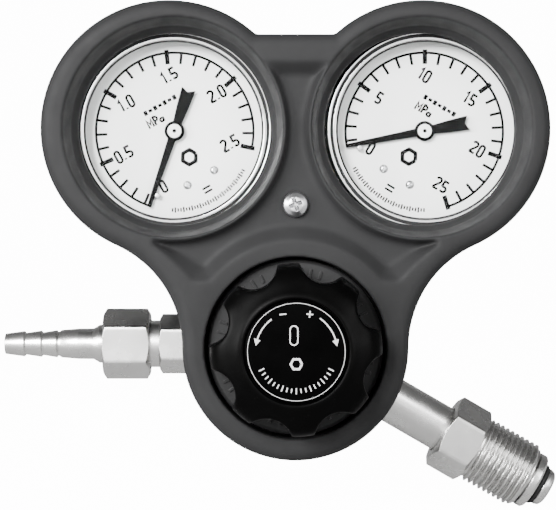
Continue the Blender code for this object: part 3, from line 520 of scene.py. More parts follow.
def slab(shape, outline, low, high):
    """Adds a flat plate with that outline."""
    lower = [shape.verts.new((x, y, low)) for x, y in outline]
    upper = [shape.verts.new((x, y, high)) for x, y in outline]
    count = len(outline)
    for k in range(count):
        j = (k + 1) % count
        shape.faces.new((lower[k], lower[j], upper[j], upper[k]))
    shape.faces.new(lower)
    shape.faces.new(upper)
    return shape


def stroke(shape, points, width, low, high):
    """Adds a flat line of that width along points, with its corners mitred."""
    left, right = [], []
    count = len(points)
    for i, point in enumerate(points):
        before = Vector(point) - Vector(points[max(i - 1, 0)])
        after = Vector(points[min(i + 1, count - 1)]) - Vector(point)
        before = (before if i else after).normalized()
        after = (after if i < count - 1 else before).normalized()
        ahead = (before + after).normalized()
        normal = Vector((-ahead.y, ahead.x)) / max(0.6, ahead.dot(after))
        left.append(Vector(point) + normal * width / 2)
        right.append(Vector(point) - normal * width / 2)
    lower = [[shape.verts.new((*p, low)) for p in row] for row in (left, right)]
    upper = [[shape.verts.new((*p, high)) for p in row] for row in (left, right)]
    for i in range(count - 1):
        j = i + 1
        shape.faces.new((upper[0][i], upper[0][j], upper[1][j], upper[1][i]))
        shape.faces.new((lower[0][i], lower[1][i], lower[1][j], lower[0][j]))
        shape.faces.new((lower[0][i], lower[0][j], upper[0][j], upper[0][i]))
        shape.faces.new((lower[1][i], upper[1][i], upper[1][j], lower[1][j]))
    for i in (0, count - 1):
        shape.faces.new((lower[0][i], upper[0][i], upper[1][i], lower[1][i]))
    return shape


# Each glyph's width and its pen lines, for a height of one.
GLYPHS = {
    "0": (0.5, [arc((0, 0.3), 0.2, 0, 180, 8) + arc((0, -0.3), 0.2, 180, 360, 8) + [(0.2, 0.3)]]),
    "1": (0.34, [[(-0.12, 0.27), (0.05, 0.5), (0.05, -0.5)]]),
    "2": (0.5, [
        arc((0, 0.28), 0.22, 165, -35, 8) + [(-0.2, -0.38), (-0.2, -0.46)],
        [(-0.24, -0.46), (0.24, -0.46)],
    ]),
    "5": (0.5, [[(0.22, 0.46), (-0.17, 0.46), (-0.2, 0.02)] + arc((0, -0.23), 0.23, 115, -145, 10)]),
    ".": (0.16, [[(0, -0.5), (0, -0.36)]]),
    "M": (0.62, [[(-0.26, -0.5), (-0.26, 0.44), (0, -0.15), (0.26, 0.44), (0.26, -0.5)]]),
    "P": (0.5, [
        [(-0.18, -0.5), (-0.18, 0.45), (0, 0.45)] + arc((0, 0.22), 0.23, 90, -90, 8) + [(-0.18, -0.01)],
    ]),
    "a": (0.46, [arc((0, -0.24), 0.2, 0, 360, 12), [(0.2, 0.04), (0.2, -0.5)]]),
}
GLYPH_GAP = 0.16


def figures(shape, words, height, width, centre, low, high):
    """Adds plain figures, centred on a spot, drawn with a pen of that width."""
    whole = sum(GLYPHS[letter][0] for letter in words) + GLYPH_GAP * (len(words) - 1)
    x = centre[0] - height * whole / 2
    for letter in words:
        room, lines = GLYPHS[letter]
        x += height * room / 2
        for line in lines:
            points = [(x + height * px, centre[1] + height * py) for px, py in line]
            stroke(shape, points, width, low, high)
        x += height * (room / 2 + GLYPH_GAP)
    return shape


def helper(name, shape):
    """A mesh object in millimetres that only takes part in Booleans."""
    bmesh.ops.recalc_face_normals(shape, faces=shape.faces)
    return placed(name, meshed(name, shape))


def carved(obj, cutters):
    """The object less its cutters, as a bmesh. The helpers are removed."""
    for cutter in cutters:
        modifier = obj.modifiers.new("cut", "BOOLEAN")
        modifier.operation = "DIFFERENCE"
        modifier.object = cutter
    return harvest(obj, cutters)


def harvest(obj, others=()):
    """The object with its modifiers applied, as a bmesh. The objects are removed."""
    bpy.context.view_layer.update()
    mesh = bpy.data.meshes.new_from_object(obj.evaluated_get(bpy.context.evaluated_depsgraph_get()))
    shape = bmesh.new()
    shape.from_mesh(mesh)
    bpy.data.meshes.remove(mesh)
    for other in (obj, *others):
        bpy.data.objects.remove(other)
    return shape


def loft(rings):
    """A closed solid through rings that have equal counts of points."""
    shape = bmesh.new()
    rows = [[shape.verts.new(p) for p in ring] for ring in rings]
    skin(shape, rows)
    shape.faces.new(rows[0])
    shape.faces.new(rows[-1])
    return shape


def rectangle(x, y, far_x, far_y):
    return [(x, y), (far_x, y), (far_x, far_y), (x, far_y)]


def level(outline, height):
    """The points of an outline at a height."""
    return [(x, y, height) for x, y in outline]


# ---------------------------------------------------------------- guard

HOOD_RADIUS = 40.0
KNOB_LOBE_RADIUS = 35.3
WAIST_RADIUS = 35.0
BRIDGE_TOP = 97.65
GUARD_FRONT = 29.0
GUARD_BACK = -4.0
GUARD_WALL = 3.0
GUARD_EDGE = 4.0
POCKET_FLOOR = 25.2
POCKET_TOP = 85.0
POCKET_SLOPE = 3.8
COLLAR_FOOT = 34.9
CLEAR = 40.0
VOXEL = 0.5


def guard_outline(inset=0.0):
    """The guard's three-lobed outline, clockwise from the bridge, moved inwards by the inset."""
    hood, lobe = HOOD_RADIUS - inset, KNOB_LOBE_RADIUS - inset
    x, y = HOOD_CENTRE
    corner = math.degrees(math.asin((BRIDGE_TOP - inset - y) / hood))
    distance = math.hypot(x, y)
    to_hood, to_lobe = HOOD_RADIUS + WAIST_RADIUS, KNOB_LOBE_RADIUS + WAIST_RADIUS
    spread = math.acos((to_lobe**2 + distance**2 - to_hood**2) / (2 * to_lobe * distance))
    waist_angle = math.degrees(math.atan2(y, x) - spread)
    waist = polar(to_lobe, waist_angle)
    hood_end = math.degrees(math.atan2(waist[1] - y, waist[0] - x))
    right = arc((x, y), hood, 180 - corner, hood_end, 90)
    right += arc(waist, WAIST_RADIUS + inset, hood_end + 180, waist_angle + 180, 20)[1:]
    right += arc((0, 0), lobe, waist_angle, -90, 36)[1:]
    return right + [(-px, py) for px, py in reversed(right[:-1])]


def pocket_outline(grow):
    """The sunk panel between the three openings. Its sides run under the gauge collars."""
    x, y = HOOD_CENTRE
    end = Vector((x + 5.0, y - COLLAR_FOOT - 0.3 * grow))
    corner = Vector((29.3 + 0.75 * grow, 25.4 - 1.3 * grow))
    bulge = (end + corner) / 2 + Vector((-0.5, 1.3))
    right = [(12.5, POCKET_TOP + grow), (x - 3.7, y - 1.9)]
    for k in range(13):
        t = k / 12
        right.append(tuple((1 - t) ** 2 * end + 2 * t * (1 - t) * bulge + t * t * corner))
    right += arc((0, 0), 37.8 - grow * 1.1, 41.6 - grow * 0.9, 90, 30)
    return right + [(-px, py) for px, py in reversed(right[:-1])]


def at(shape, x, y, turn=0.0):
    """The shape, turned about its own axis and then moved."""
    matrix = Matrix.Translation((x, y, 0)) @ Matrix.Rotation(turn, 4, "Z")
    bmesh.ops.transform(shape, matrix=matrix, verts=shape.verts)
    return shape


def in_port(shape, angle):
    """The shape with its Z axis laid along the port at that angle."""
    matrix = Matrix.Rotation(math.radians(angle), 4, "Z") @ Matrix.Rotation(math.pi / 2, 4, "Y")
    bmesh.ops.transform(shape, matrix=matrix, verts=shape.verts)
    return shape


def in_panel(point):
    """True for the sunk panel's walls, whose corners have wide radii."""
    if point.z < 22.0 or not 17.0 < point.y < 92.0 or abs(point.x) >= 47.0:
        return False
    if math.hypot(point.x, point.y) < 30.0:
        return False
    return all(math.hypot(point.x - x, point.y - y) > COLLAR_FOOT for x, y in OPENINGS)


def moulded(shape):
    """The guard remeshed finely and smoothed, most of all on the sunk panel's walls."""
    solid = helper("guard_solid", shape)
    remesh = solid.modifiers.new("remesh", "REMESH")
    remesh.mode = "VOXEL"
    remesh.voxel_size = VOXEL
    solid = helper("guard_solid", harvest(solid))
    panel = [vertex.index for vertex in solid.data.vertices if in_panel(vertex.co)]
    solid.vertex_groups.new(name="panel").add(panel, 1.0, "ADD")
    for count, group in ((24, "panel"), (8, "")):
        smooth = solid.modifiers.new("smooth", "SMOOTH")
        smooth.factor = 0.5
        smooth.iterations = count
        smooth.vertex_group = group
    return harvest(solid)


def build_guard():
    """Moulded guard, made by Booleans on clean shapes."""
    rings = [level(guard_outline(), GUARD_BACK)]
    for turn in range(0, 91, 15):
        inset = GUARD_EDGE * (1 - math.cos(math.radians(turn)))
        height = GUARD_FRONT - GUARD_EDGE * (1 - math.sin(math.radians(turn)))
        rings.append(level(guard_outline(inset), height))
    guard = helper("guard_base", loft(rings))

    inner = [level(guard_outline(GUARD_WALL), h) for h in (GUARD_BACK - 5, GUARD_FRONT - GUARD_WALL)]
    behind = [level(pocket_outline(2.6), h) for h in (POCKET_FLOOR - GUARD_WALL, CLEAR)]
    hollow = helper("guard_hollow", loft(inner))
    collar = [(0, CLEAR), (38.4, CLEAR), (33.2, 17.0), (0, 17.0)]
    keep = [helper("collar", at(turned(collar, 90), x, y, 0.02)) for x, y in OPENINGS]
    keep.append(helper("knob_collar", at(rod(30.8, CLEAR, 15, 90), 0, 0, 0.02)))
    keep.append(helper("pocket_back", loft(behind)))
    hollow = helper("guard_hollow", carved(hollow, keep))

    depths = ((POCKET_FLOOR, 0), (GUARD_FRONT, POCKET_SLOPE), (CLEAR, POCKET_SLOPE))
    pocket = helper("pocket", loft([level(pocket_outline(grow), height) for height, grow in depths]))
    lip = [(0, 28.9), (COLLAR_FOOT, 28.9), (35.5, 27.6), (36.0, 26.3), (36.9, 25.3), (36.9, 20), (0, 20)]
    lips = [helper("lip", at(turned(lip, 90), x, y, 0.03)) for x, y in OPENINGS]
    pocket = helper("pocket", carved(pocket, lips))

    opening = [(0, CLEAR), (38.0, CLEAR), (34.2, 28.4), (32.6, 22.6), (32.2, 20.6)]
    opening += [(30.2, 18.8), (30.2, 10), (0, 10)]
    cutters = [hollow] + [helper("opening", at(turned(opening, 120), x, y)) for x, y in OPENINGS]
    knob_opening = [(0, CLEAR), (29.2, CLEAR), (28.2, 28), (28.2, 5), (0, 5)]
    cutters.append(helper("knob_opening", turned(knob_opening, 110)))
    cutters.append(pocket)
    cutters.append(helper("screw_hole", at(rod(2.3, CLEAR, 10, 32), *GUARD_SCREW)))
    for angle, radius in ((180, 11.0), (-30, 9.8)):
        cutters.append(helper("notch", in_port(rod(radius, 42, 28, 64), angle)))
        slot = slab(bmesh.new(), rectangle(-0.1, -radius, 3 - GUARD_BACK, radius), 28, 42)
        cutters.append(helper("notch_slot", in_port(slot, angle)))
    shape = carved(guard, cutters)
    piece("guard_shell", moulded(shape), "guard", "guard", sharp=75.0)


def recess(x, y, face, reach, turn):
    """The two tapered blades of a cross recess. A negative face opens it to the back."""
    inwards = -1 if face > 0 else 1
    blades = []
    for quarter in (0, 90):
        rings = []
        for wide, long, depth in ((0.72, reach, -0.2), (0.5, reach * 0.75, 1.1), (0.2, reach * 0.3, 2.1)):
            rings.append(level(rectangle(-wide, -long, wide, long), face + inwards * depth))
        blades.append(helper("blade", at(loft(rings), x, y, math.radians(turn + quarter))))
    return blades


def build_guard_fixings():
    x, y = GUARD_SCREW
    head = [(0, 28.4), (2.2, 28.2, 1.0), (3.7, 27.2, 0.8), (4.1, 25.9, 0.2)]
    head += [(1.5, 25.9), (1.5, 13.0, 0.3), (0, 13.0)]
    screw = helper("screw", at(turned(head, 64), x, y))
    piece("guard_cross_screw", carved(screw, recess(x, y, 28.6, 2.4, 20)), "steel", "guard_screw")

    strap = [(-8, 14.5), (8, 14.5), (8, 40)] + arc((0, y - 0.6), 7.6, 20, 160, 24) + [(-8, 40)]
    plate = helper("strap", slab(bmesh.new(), strap, -15.8, -13.3))
    holes = [helper("hole", at(rod(2.1, -10, -20, 40), *spot)) for spot in STRAP_SCREWS.values()]
    holes.append(helper("hole", at(rod(2.2, -10, -20, 40), x, y)))
    piece("guard_strap", carved(plate, holes), "steel", "guard_bracket")
    head = [(0, -9.2), (1.8, -9.2, 0.2), (1.8, -16.1), (3.5, -16.1, 0.1)]
    head += [(3.5, -17.4, 0.5), (2.6, -18.2, 0.3), (0, -18.2)]
    for side, spot in STRAP_SCREWS.items():
        screw = helper("screw", at(turned(head, 48), *spot))
        blades = recess(*spot, -18.4, 2.0, 33 if side == "right" else 0)
        piece(f"strap_screw_{side}", carved(screw, blades), "steel", f"bracket_screw_{side}")
    shape = hexagon(bmesh.new(), -13.0, 22.2, 8.0, 1.8)
    lathe(shape, [(0, -12.0), (1.9, -12.0), (1.9, -17.0, 0.3), (0, -17.0)], 32)
    piece("guard_pillar", at(shape, x, y), "nickel", "guard_standoff")


# ---------------------------------------------------------------- knob and bonnet

KNOB_BACK = 30.0
KNOB_FRONT = 53.0
KNOB_RADIUS = 26.3
KNOB_LOBES = 8
TOP_LOBE_ANGLE = 95.0
SCALLOP_RADIUS = 7.7
SCALLOP_DISTANCE = 29.2


def scallop_reach(angle):
    """How far out the round scallops let the knob reach at that angle."""
    half = math.pi / KNOB_LOBES
    offset = (angle - math.radians(TOP_LOBE_ANGLE)) % (2 * half) - half
    across = SCALLOP_DISTANCE * math.sin(offset)
    inside = SCALLOP_RADIUS**2 - across**2
    if inside <= 0:
        return 2 * KNOB_RADIUS
    return SCALLOP_DISTANCE * math.cos(offset) - math.sqrt(inside)


def lesser(a, b, blend):
    """The smaller of two numbers, with a soft change from one to the other."""
    share = max(blend - abs(a - b), 0.0) / blend
    return min(a, b) - share * share * blend / 4


def build_knob():
    shape = bmesh.new()
    outer = [
        (20.6, KNOB_BACK), (25.6, KNOB_BACK), (26.1, KNOB_BACK + 0.25),
        (KNOB_RADIUS, KNOB_BACK + 0.8), (KNOB_RADIUS, 34.0), (KNOB_RADIUS, 38.0), (26.25, 42.0),
        (26.1, 44.0), (25.9, 45.6), (25.5, 46.9), (25.0, 47.8), (24.3, 48.7), (23.5, 49.4),
        (22.7, 50.0), (21.8, 50.5), (21.0, 50.9), (20.0, 51.35), (19.0, 51.8), (17.8, 52.4),
        (16.9, 52.9), (16.3, KNOB_FRONT), (15.9, 52.9), (15.75, 52.6), (15.7, 50.4), (0, 50.4),
    ]

    def radius_at(radius, height, angle):
        if radius < 16.5 or radius == 20.6:
            return radius
        return lesser(radius, scallop_reach(angle), 0.9)

    lathe(shape, outer, 384, radius_at)
    inner = [(20.6, KNOB_BACK), (20.0, KNOB_BACK + 0.6), (20.0, 42.0, 1.0), (15.0, 44.2, 1.0)]
    lathe(shape, inner + [(5.4, 44.2), (5.4, 48.9), (0, 48.9)], 96)
    piece("hand_knob", shape, "knob", "knob", body="knob", sharp=50.0)

    top, foot = KNOB_FRONT + 0.2, KNOB_FRONT - 0.5
    disc = [(0, top), (14.9, top, 0.2), (15.4, top - 0.4, 0.2), (15.4, foot), (0, foot)]
    piece("knob_plate", turned(disc, 128), "disc", "knob_disc", body="knob")
    ink = bmesh.new()
    low, high = top - 0.03, top + 0.05
    stroke(ink, arc((0, 0), 14.5, 0, 360, 160), 0.15, low, high)
    for sign, first, last in ((1, 127, 162), (-1, 55, 17)):
        stroke(ink, arc((0, 0), 12.2, first, last, 20), 0.4, low, high)
        apex = polar(12.2, last + sign * 9)
        wings = [polar(radius, last) for radius in (13.2, 11.2)]
        slab(ink, [apex, *(wings if sign < 0 else reversed(wings))], low, high)
    stroke(ink, [(-5.0, 11.1), (-3.0, 11.3)], 0.36, low, high)
    stroke(ink, [(3.0, 11.3), (5.0, 11.1)], 0.36, low, high)
    stroke(ink, [(4.1, 12.2), (3.9, 10.2)], 0.36, low, high + 0.005)
    capsule = arc((-0.7, 6.6), 1.15, 0, 180, 16) + arc((-0.7, 3.2), 1.15, 180, 360, 16)
    stroke(ink, capsule + [capsule[0]], 0.36, low, high)
    stroke(ink, arc((0, -3.6), 1.7, 0, 360, 6), 0.62, low, high)
    for k in range(19):
        angle = 207 + 126 * k / 18
        reach = 1.3 if k % 3 else 1.8
        stroke(ink, [polar(11.6 - reach / 2, angle), polar(11.6 + reach / 2, angle)], 0.34, low, high)
    piece("knob_plate_print", ink, "print", body="knob")


def build_bonnet():
    points = [
        (5.25, 40.0), (14.7, 40.0, 0.4), (15.5, 39.2, 0.4), (15.5, 25.2, 0.8), (16.7, 24.0, 0.8),
        (26.4, 24.0, 0.5), (27.4, 23.2, 0.5), (27.4, 14.4, 0.3), (29.6, 14.0, 0.5),
        (29.6, 11.2, 0.5), (27.4, 10.8, 0.3), (27.4, 9.6, 0.3), (24.7, 9.6), (24.7, 14.2),
        (20.5, 14.2), (20.5, 18), (12.5, 20), (12.5, 34.8), (5.25, 34.8),
    ]
    shape = lathe(bmesh.new(), points, 160)
    for k in range(48):
        if k % 6 in (0, 1):
            continue
        angle = 7.5 * k + 11
        inner = 21.3 if k % 6 == 3 else 22.4
        stroke(shape, [polar(inner, angle), polar(24.9, angle)], 0.75, 23.8, 24.45)
    piece("bonnet_shell", shape, "bonnet", "bonnet")


# ---------------------------------------------------------------- body and fittings


def build_body():
    points = [
        (24.3, 12.0, 0.3), (24.3, 9.3), (27.0, 9.3, 0.6), (27.0, -11.0, 0.6), (25.4, -13.0, 0.8),
        (11.5, -13.0, 0.5), (11.5, -18.0, 0.6), (7.5, -18.0), (7.5, 2), (3, 2), (3, 8), (19.5, 8),
        (19.5, 12.0),
    ]
    shape = turned(points, 144)
    ports = [(math.degrees(math.atan2(y, x)), 9.0, 6.9) for x, y in GAUGES.values()]
    ports += [(180.0, 9.0, 6.6), (-30.0, 9.2, 7.6)]
    for angle, boss, bore in ports:
        collar = [(bore, 33.0), (boss, 33.0, 0.5), (boss, 24.0, 0.5), (boss + 1.6, 21.0, 1.0)]
        ring = in_port(turned(collar + [(boss + 1.6, 20.0), (bore, 20.0)], 72), angle)
        mesh = meshed("boss", ring)
        shape.from_mesh(mesh)
        bpy.data.meshes.remove(mesh)
    body = helper("body", shape)
    cutters = [helper("relief_bore", at(rod(5, -5, -16, 48), *RELIEF_SPOT))]
    cutters += [helper("bore", at(rod(2.1, -8.5, -16, 32), *spot)) for spot in STRAP_SCREWS.values()]
    piece("body_forging", carved(body, cutters), "brass", "regulator_body")


def squashed(name, shape, finish, replaced):
    """A piece with a mesh of its own, meant to be squeezed along the knob's axis; no joint or fixed point
    is set up here.
    """
    made = piece(name, shape, finish, replaced)
    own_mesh(made)


def build_rear():
    stem = [(0, -17.0), (2.4, -17.0), (2.4, -13.6), (7.2, -13.6), (7.2, -18.3)]
    shape = turned(stem + [(9.2, -18.3, 0.3), (9.2, -19.6, 0.3), (0, -19.6)], 72)
    hexagon(shape, -25.0, -19.4, 17.0, 0.02)
    piece("rear_plug", shape, "nickel", "seat_retainer")

    x, y = RELIEF_SPOT
    barrel = [(1.5, -6.5), (4.7, -6.5), (4.7, -13.3), (5.9, -13.3), (5.9, -27.0, 0.3)]
    shape = turned(barrel + [(4.0, -27.0), (4.0, -11), (1.5, -11)], 64)
    hexagon(shape, -19.0, -13.4, 12.0, 5.0)
    for foot in (0, -2, -4):
        band = ((5.9, -20.6), (6.0, -20.8), (6.0, -21.6), (5.9, -21.8), (5.4, -21.2))
        lathe(shape, [(radius, foot + height) for radius, height in band], 48)
    piece("relief_body", at(shape, x, y), "nickel", "relief_valve_body")
    cap = [(0.9, -25.1), (3.7, -25.1), (3.7, -27.3), (6.0, -27.3, 0.2), (6.0, -29.4, 0.4)]
    cap += [(5.2, -30.2, 0.4), (1.3, -30.2, 0.2), (0.9, -29.6)]

    def knurl(radius, height, angle):
        return radius - 0.12 * (1 + math.cos(36 * angle)) / 2 if radius > 5.95 else radius

    piece("relief_top", at(lathe(bmesh.new(), cap, 216, knurl), x, y), "nickel", "relief_cap")
    spring = at(coil(2.6, -24.4, -14.2, 5, 0.7, 0.5), x, y)
    squashed("relief_coil", spring, "steel", "relief_spring")


def build_inlet():
    tip = 94.8
    points = [
        (2.5, tip, 0.3), (4.8, tip, 0.8), (5.9, tip - 0.7, 0.8), (6.3, tip - 1.9, 0.8),
        (6.3, tip - 2.8, 0.2), (4.9, tip - 2.8), (4.9, tip - 4.8), (8.6, tip - 4.8, 0.4),
        (9.3, tip - 5.5, 0.4), (9.3, tip - 7.6, 0.3), (7.5, tip - 7.6), (7.5, 34.2, 0.4),
        (9.0, 33.9, 0.2), (9.0, 33.3), (7.2, 33.3), (7.2, 24), (4.4, 24), (4.4, 36), (2.5, 36),
    ]
    piece("nipple", turned(points, 96), "nickel", "inlet_nipple", INLET)
    seal = [(5.0, tip - 2.95), (6.6, tip - 2.95, 0.5), (7.1, tip - 3.8, 0.6)]
    seal += [(6.6, tip - 4.65, 0.5), (5.0, tip - 4.65)]
    piece("seal_ring", turned(seal, 72), "rubber", "nipple_seal", INLET)

    shape = hexagon(bmesh.new(), 55.5, 67.5, 22.0, 7.9, 0.62, FACE_FORWARD)
    thread(shape, 11.0, 9.85, 25.4 / 14, 67.2, 86.5, 7.9, 120)
    lathe(shape, [(7.9, 67.6), (9.7, 67.6), (9.7, 66.8), (7.9, 66.8)], 48)
    piece("gland_nut", shape, "nickel", "inlet_nut", INLET, "inlet_nut")


def build_outlet():
    tube = [(6.9, 55.9), (7.6, 55.2, 0.3), (7.6, 42.6), (7.6, 34.4)]
    shape = turned(tube + [(6.2, 34.4), (6.2, 23), (2.6, 23), (2.6, 55.9)], 80)
    hexagon(shape, 33.4, 43.6, 17.0, 5.0, 0.6, FACE_FORWARD)
    piece("outlet_union", shape, "nickel", "outlet_connector", OUTLET)

    shape = hexagon(bmesh.new(), 46.8, 61.8, 20.0, 8.0, 0.6, FACE_FORWARD)
    lathe(shape, [(6.6, 61.7), (8.2, 61.7), (8.2, 57.9), (6.6, 57.9)], 64)
    piece("union_nut", shape, "nickel", "hose_nut", OUTLET)

    points = [(2.2, 93.9, 0.2), (3.3, 93.9, 0.35)]
    for foot, ridge in ((87.1, 4.15), (81.6, 4.3), (76.6, 4.45)):
        points += [(ridge, foot + 0.5, 0.25), (ridge - 0.6, foot, 0.15)]
    points += [(4.5, 75.5), (4.95, 70.0, 1.0), (5.0, 65.2, 1.0), (6.2, 63.2, 0.8)]
    points += [(6.2, 57.7), (7.5, 57.7), (7.5, 56.3), (2.2, 56.3)]
    piece("hose_tail", turned(points, 80), "nickel", "hose_barb", OUTLET)


# ---------------------------------------------------------------- gauges

SCALES = {"left": ("0", "0.5", "1.0", "1.5", "2.0", "2.5"), "right": ("0", "5", "10", "15", "20", "25")}
MINOR = 5
DIVISION = 54.1
FULL_SCALE_ANGLE = -41.6
DIAL_TOP = 8.5
SCALE_RADIUS = 25.2


def build_case(side, place):
    case = [
        (0, -11.0), (30.0, -11.0), (30.0, 13.0, 0.2), (31.0, 13.0, 0.2), (31.0, 7.6, 0.3),
        (33.8, 7.4, 0.5), (33.8, 6.0, 0.5), (31.0, 5.6, 0.3), (31.0, -10.4, 1.4),
        (29.4, -12.0, 1.2), (24.0, -12.0, 0.4), (23.2, -11.7, 0.4), (0, -11.7),
    ]
    shell = helper("case", turned(case, 144))
    hole = rod(6, 20, 40, 40)
    bmesh.ops.rotate(hole, verts=hole.verts, matrix=Matrix.Rotation(math.pi / 2, 3, "X"))
    shape = carved(shell, [helper("hole", hole)])
    piece(f"{side}_case_shell", shape, "case", f"{side}_gauge_case", place)
    bezel = [
        (28.4, 15.3, 0.15), (28.6, 15.75, 0.3), (29.4, 15.75, 0.2), (29.6, 15.2, 0.1),
        (30.25, 15.2, 0.1), (30.4, 16.2, 0.25), (31.0, 16.15, 0.5), (31.9, 15.75, 0.4),
        (32.2, 15.2, 0.3), (32.2, 9.0, 0.4), (31.6, 8.0, 0.3), (31.3, 8.0), (31.3, 15.05),
        (28.4, 15.05),
    ]
    piece(f"{side}_bezel_ring", turned(bezel, 180), "chrome", f"{side}_bezel", place)
    # Painted shade: the outer black ring lies in the bezel's groove to make the groove dark, and the
    # inner ring, the window's seal, also darkens the gap at the glass's edge.
    seal_and_shade_rings = turned([(29.62, 15.15), (29.62, 15.32), (30.22, 15.32), (30.22, 15.15)], 144)
    lathe(seal_and_shade_rings, [(27.9, 15.02), (28.0, 15.25, 0.1), (28.45, 15.3), (28.45, 15.02)], 144)
    piece(f"{side}_window_seal_and_shade_rings", seal_and_shade_rings, "rubber", None, place)
    piece(f"{side}_window_pane", rod(31.0, 15.0, 13.4, 120), "glass", f"{side}_window", place)


def build_dial(side, place):
    top = DIAL_TOP
    dial = turned([(1.6, top), (29.6, top, 0.1), (29.6, 8.0), (1.6, 8.0)], 120)
    piece(f"{side}_dial_plate", dial, "dial", f"{side}_dial", place)
    pin = turned([(0, 10.9), (0.9, 10.9, 0.3), (0.9, 8.1), (0, 8.1)], 24)
    piece(f"{side}_stop_pin", at(pin, *polar(21.4, ZERO_ANGLE + 4.0)), "steel", None, place)
    screws = bmesh.new()
    for x in (-4.9, 4.9):
        head = [(0, top + 0.75), (0.8, top + 0.65, 0.4), (1.4, top + 0.1, 0.2)]
        head = turned(head + [(1.4, top - 0.2), (0, top - 0.2)], 32)
        head = helper("head", at(head, x, -17.0))
        slot = slab(bmesh.new(), rectangle(-2, -0.22, 2, 0.22), top + 0.35, top + 2)
        head = helper("head", carved(head, [helper("slot", at(slot, x, -17.0, 0.9 * x))]))
        screws.from_mesh(head.data)
        bpy.data.objects.remove(head)
    piece(f"{side}_dial_screws", screws, "steel", None, place)


def build_marks(side, place):
    """The dial's print: an arc with its divisions, plain numbers, a unit, and small rings and dashes."""
    ink = bmesh.new()
    low, high = DIAL_TOP - 0.02, DIAL_TOP + 0.03
    stroke(ink, arc((0, 0), SCALE_RADIUS, ZERO_ANGLE, FULL_SCALE_ANGLE, 132), 0.8, low, high)
    labels = SCALES[side]
    for k in range(MINOR * (len(labels) - 1)):
        angle = FULL_SCALE_ANGLE + DIVISION * k / MINOR
        if k % MINOR == 0:
            stroke(ink, [polar(26.2, angle), polar(21.6, angle)], 1.45, low, high + 0.004)
        else:
            stroke(ink, [polar(SCALE_RADIUS, angle), polar(21.6, angle)], 0.88, low, high + 0.002)
    for k, label in enumerate(labels):
        angle = FULL_SCALE_ANGLE + DIVISION * (len(labels) - 1 - k)
        figures(ink, label, 3.8, 0.78, polar(18.0, angle), low, high)
    figures(ink, "MPa", 2.9, 0.7, (-3.8, 6.0), low, high)
    for k in range(7):
        stroke(ink, [(1.75 * k - 5.9, 9.6), (1.75 * k - 4.7, 9.6)], 1.0 if k % 2 else 1.6, low, high)
    stroke(ink, arc((0, -9.5), 2.4, 0, 360, 6), 1.25, low, high)
    for k in range(31):
        angle = 270 + 62 * (k / 30 - 0.5)
        reach = (0.6, 0.85, 0.5)[k % 3]
        ends = [polar(SCALE_RADIUS + way * reach, angle) for way in (-1, 1)]
        stroke(ink, ends, 0.52, low, high)
    for y in (-20.6, -22.0):
        stroke(ink, [(-1.4, y), (1.4, y)], 0.7, low, high)
    piece(f"{side}_dial_marks", ink, "ink", None, place)


def build_pointer(side, place):
    body = f"{side}_pointer"
    blade = [(0.62, 25.6), (0.86, 18), (1.1, 9), (1.3, 2.6)]
    tail = [(1.4, -2.6), (1.95, -8), (2.3, -14.3)]
    right = blade + arc((0, 0), 3.2, 66, -66, 16) + tail
    outline = right + [(0.0, -13.1)] + [(-x, y) for x, y in reversed(right)]
    shape = slab(bmesh.new(), outline, 9.75, 10.15)
    aim = Matrix.Rotation(math.radians(ZERO_ANGLE - 90), 3, "Z")
    bmesh.ops.rotate(shape, verts=shape.verts, matrix=aim)
    bmesh.ops.triangulate(shape, faces=[f for f in shape.faces if len(f.verts) > 4])
    piece(f"{side}_needle", shape, "pointer", f"{side}_pointer", place, body)
    rim = [(0.7, 9.9), (3.2, 9.9), (3.2, 10.5, 0.2), (2.5, 10.75, 0.1), (0.7, 10.6)]
    piece(f"{side}_hub_rim", turned(rim, 64), "pointer", None, place, body)
    cap = [(0.5, 10.55), (2.25, 10.55), (2.2, 10.9, 0.2), (0.7, 11.1, 0.1), (0.5, 10.95)]
    piece(f"{side}_hub_cap", turned(cap, 64), "dial", None, place, body)
    pin = turned([(0, 11.25), (0.62, 11.2, 0.15), (0.62, 10.5), (0, 10.5)], 24)
    piece(f"{side}_hub_pin", pin, "ink", None, place, body)


def build_bourdon(side, place):
    """The bent tube, swept along an arc, on no body and with its placement baked into its mesh."""
    path = [(*polar(20, 248 - 244 * k / 120), 0) for k in range(121)]
    tube = sweep(path, ellipse(1.3, 4.0, 24))
    tube = piece(f"{side}_bourdon", tube, "brass", f"{side}_bourdon_tube", place, None, 60)
    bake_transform(tube)


def repaint():
    """Procedural finishes on the CAD nodes that stay."""
    works = ("gauge_socket", "hairspring", "link", "movement_frame", "pinion", "sector_gear", "tube_tip")
    brass = ["diaphragm_plate", "valve_poppet", "inlet_filter", "seat_nozzle", "slip_ring"]
    brass += [f"{side}_{name}" for side in GAUGES for name in works]
    steel = ["adjusting_screw", "push_pin", "spring_button", "thrust_ball", "knob_screw", "relief_poppet"]
    for finish, names in (("brass", brass), ("steel", steel)):
        for name in names:
            obj = frame["nodes"][name]
            obj.data.materials.clear()
            obj.data.materials.append(FINISH[finish])


def build_springs():
    spring = coil(9.3, 16.4, 29.4, 4.5, 2.0)
    squashed("range_coil", spring, "steel", "range_spring")
    spring = coil(3.6, -13.0, -8.9, 3.5, 0.7, 0.5)
    squashed("poppet_coil", spring, "steel", "poppet_spring")
    sheet = [(0, 13.1), (14.2, 13.1), (16.5, 12.7, 0.6), (19.0, 13.1, 0.6), (24, 13.1)]
    sheet += [(24, 12.3), (19.0, 12.3, 0.6), (16.5, 12.0, 0.6), (14.2, 12.3), (0, 12.3)]
    squashed("membrane", turned(sheet, 96), "rubber", "diaphragm")


# ---------------------------------------------------------------- stage


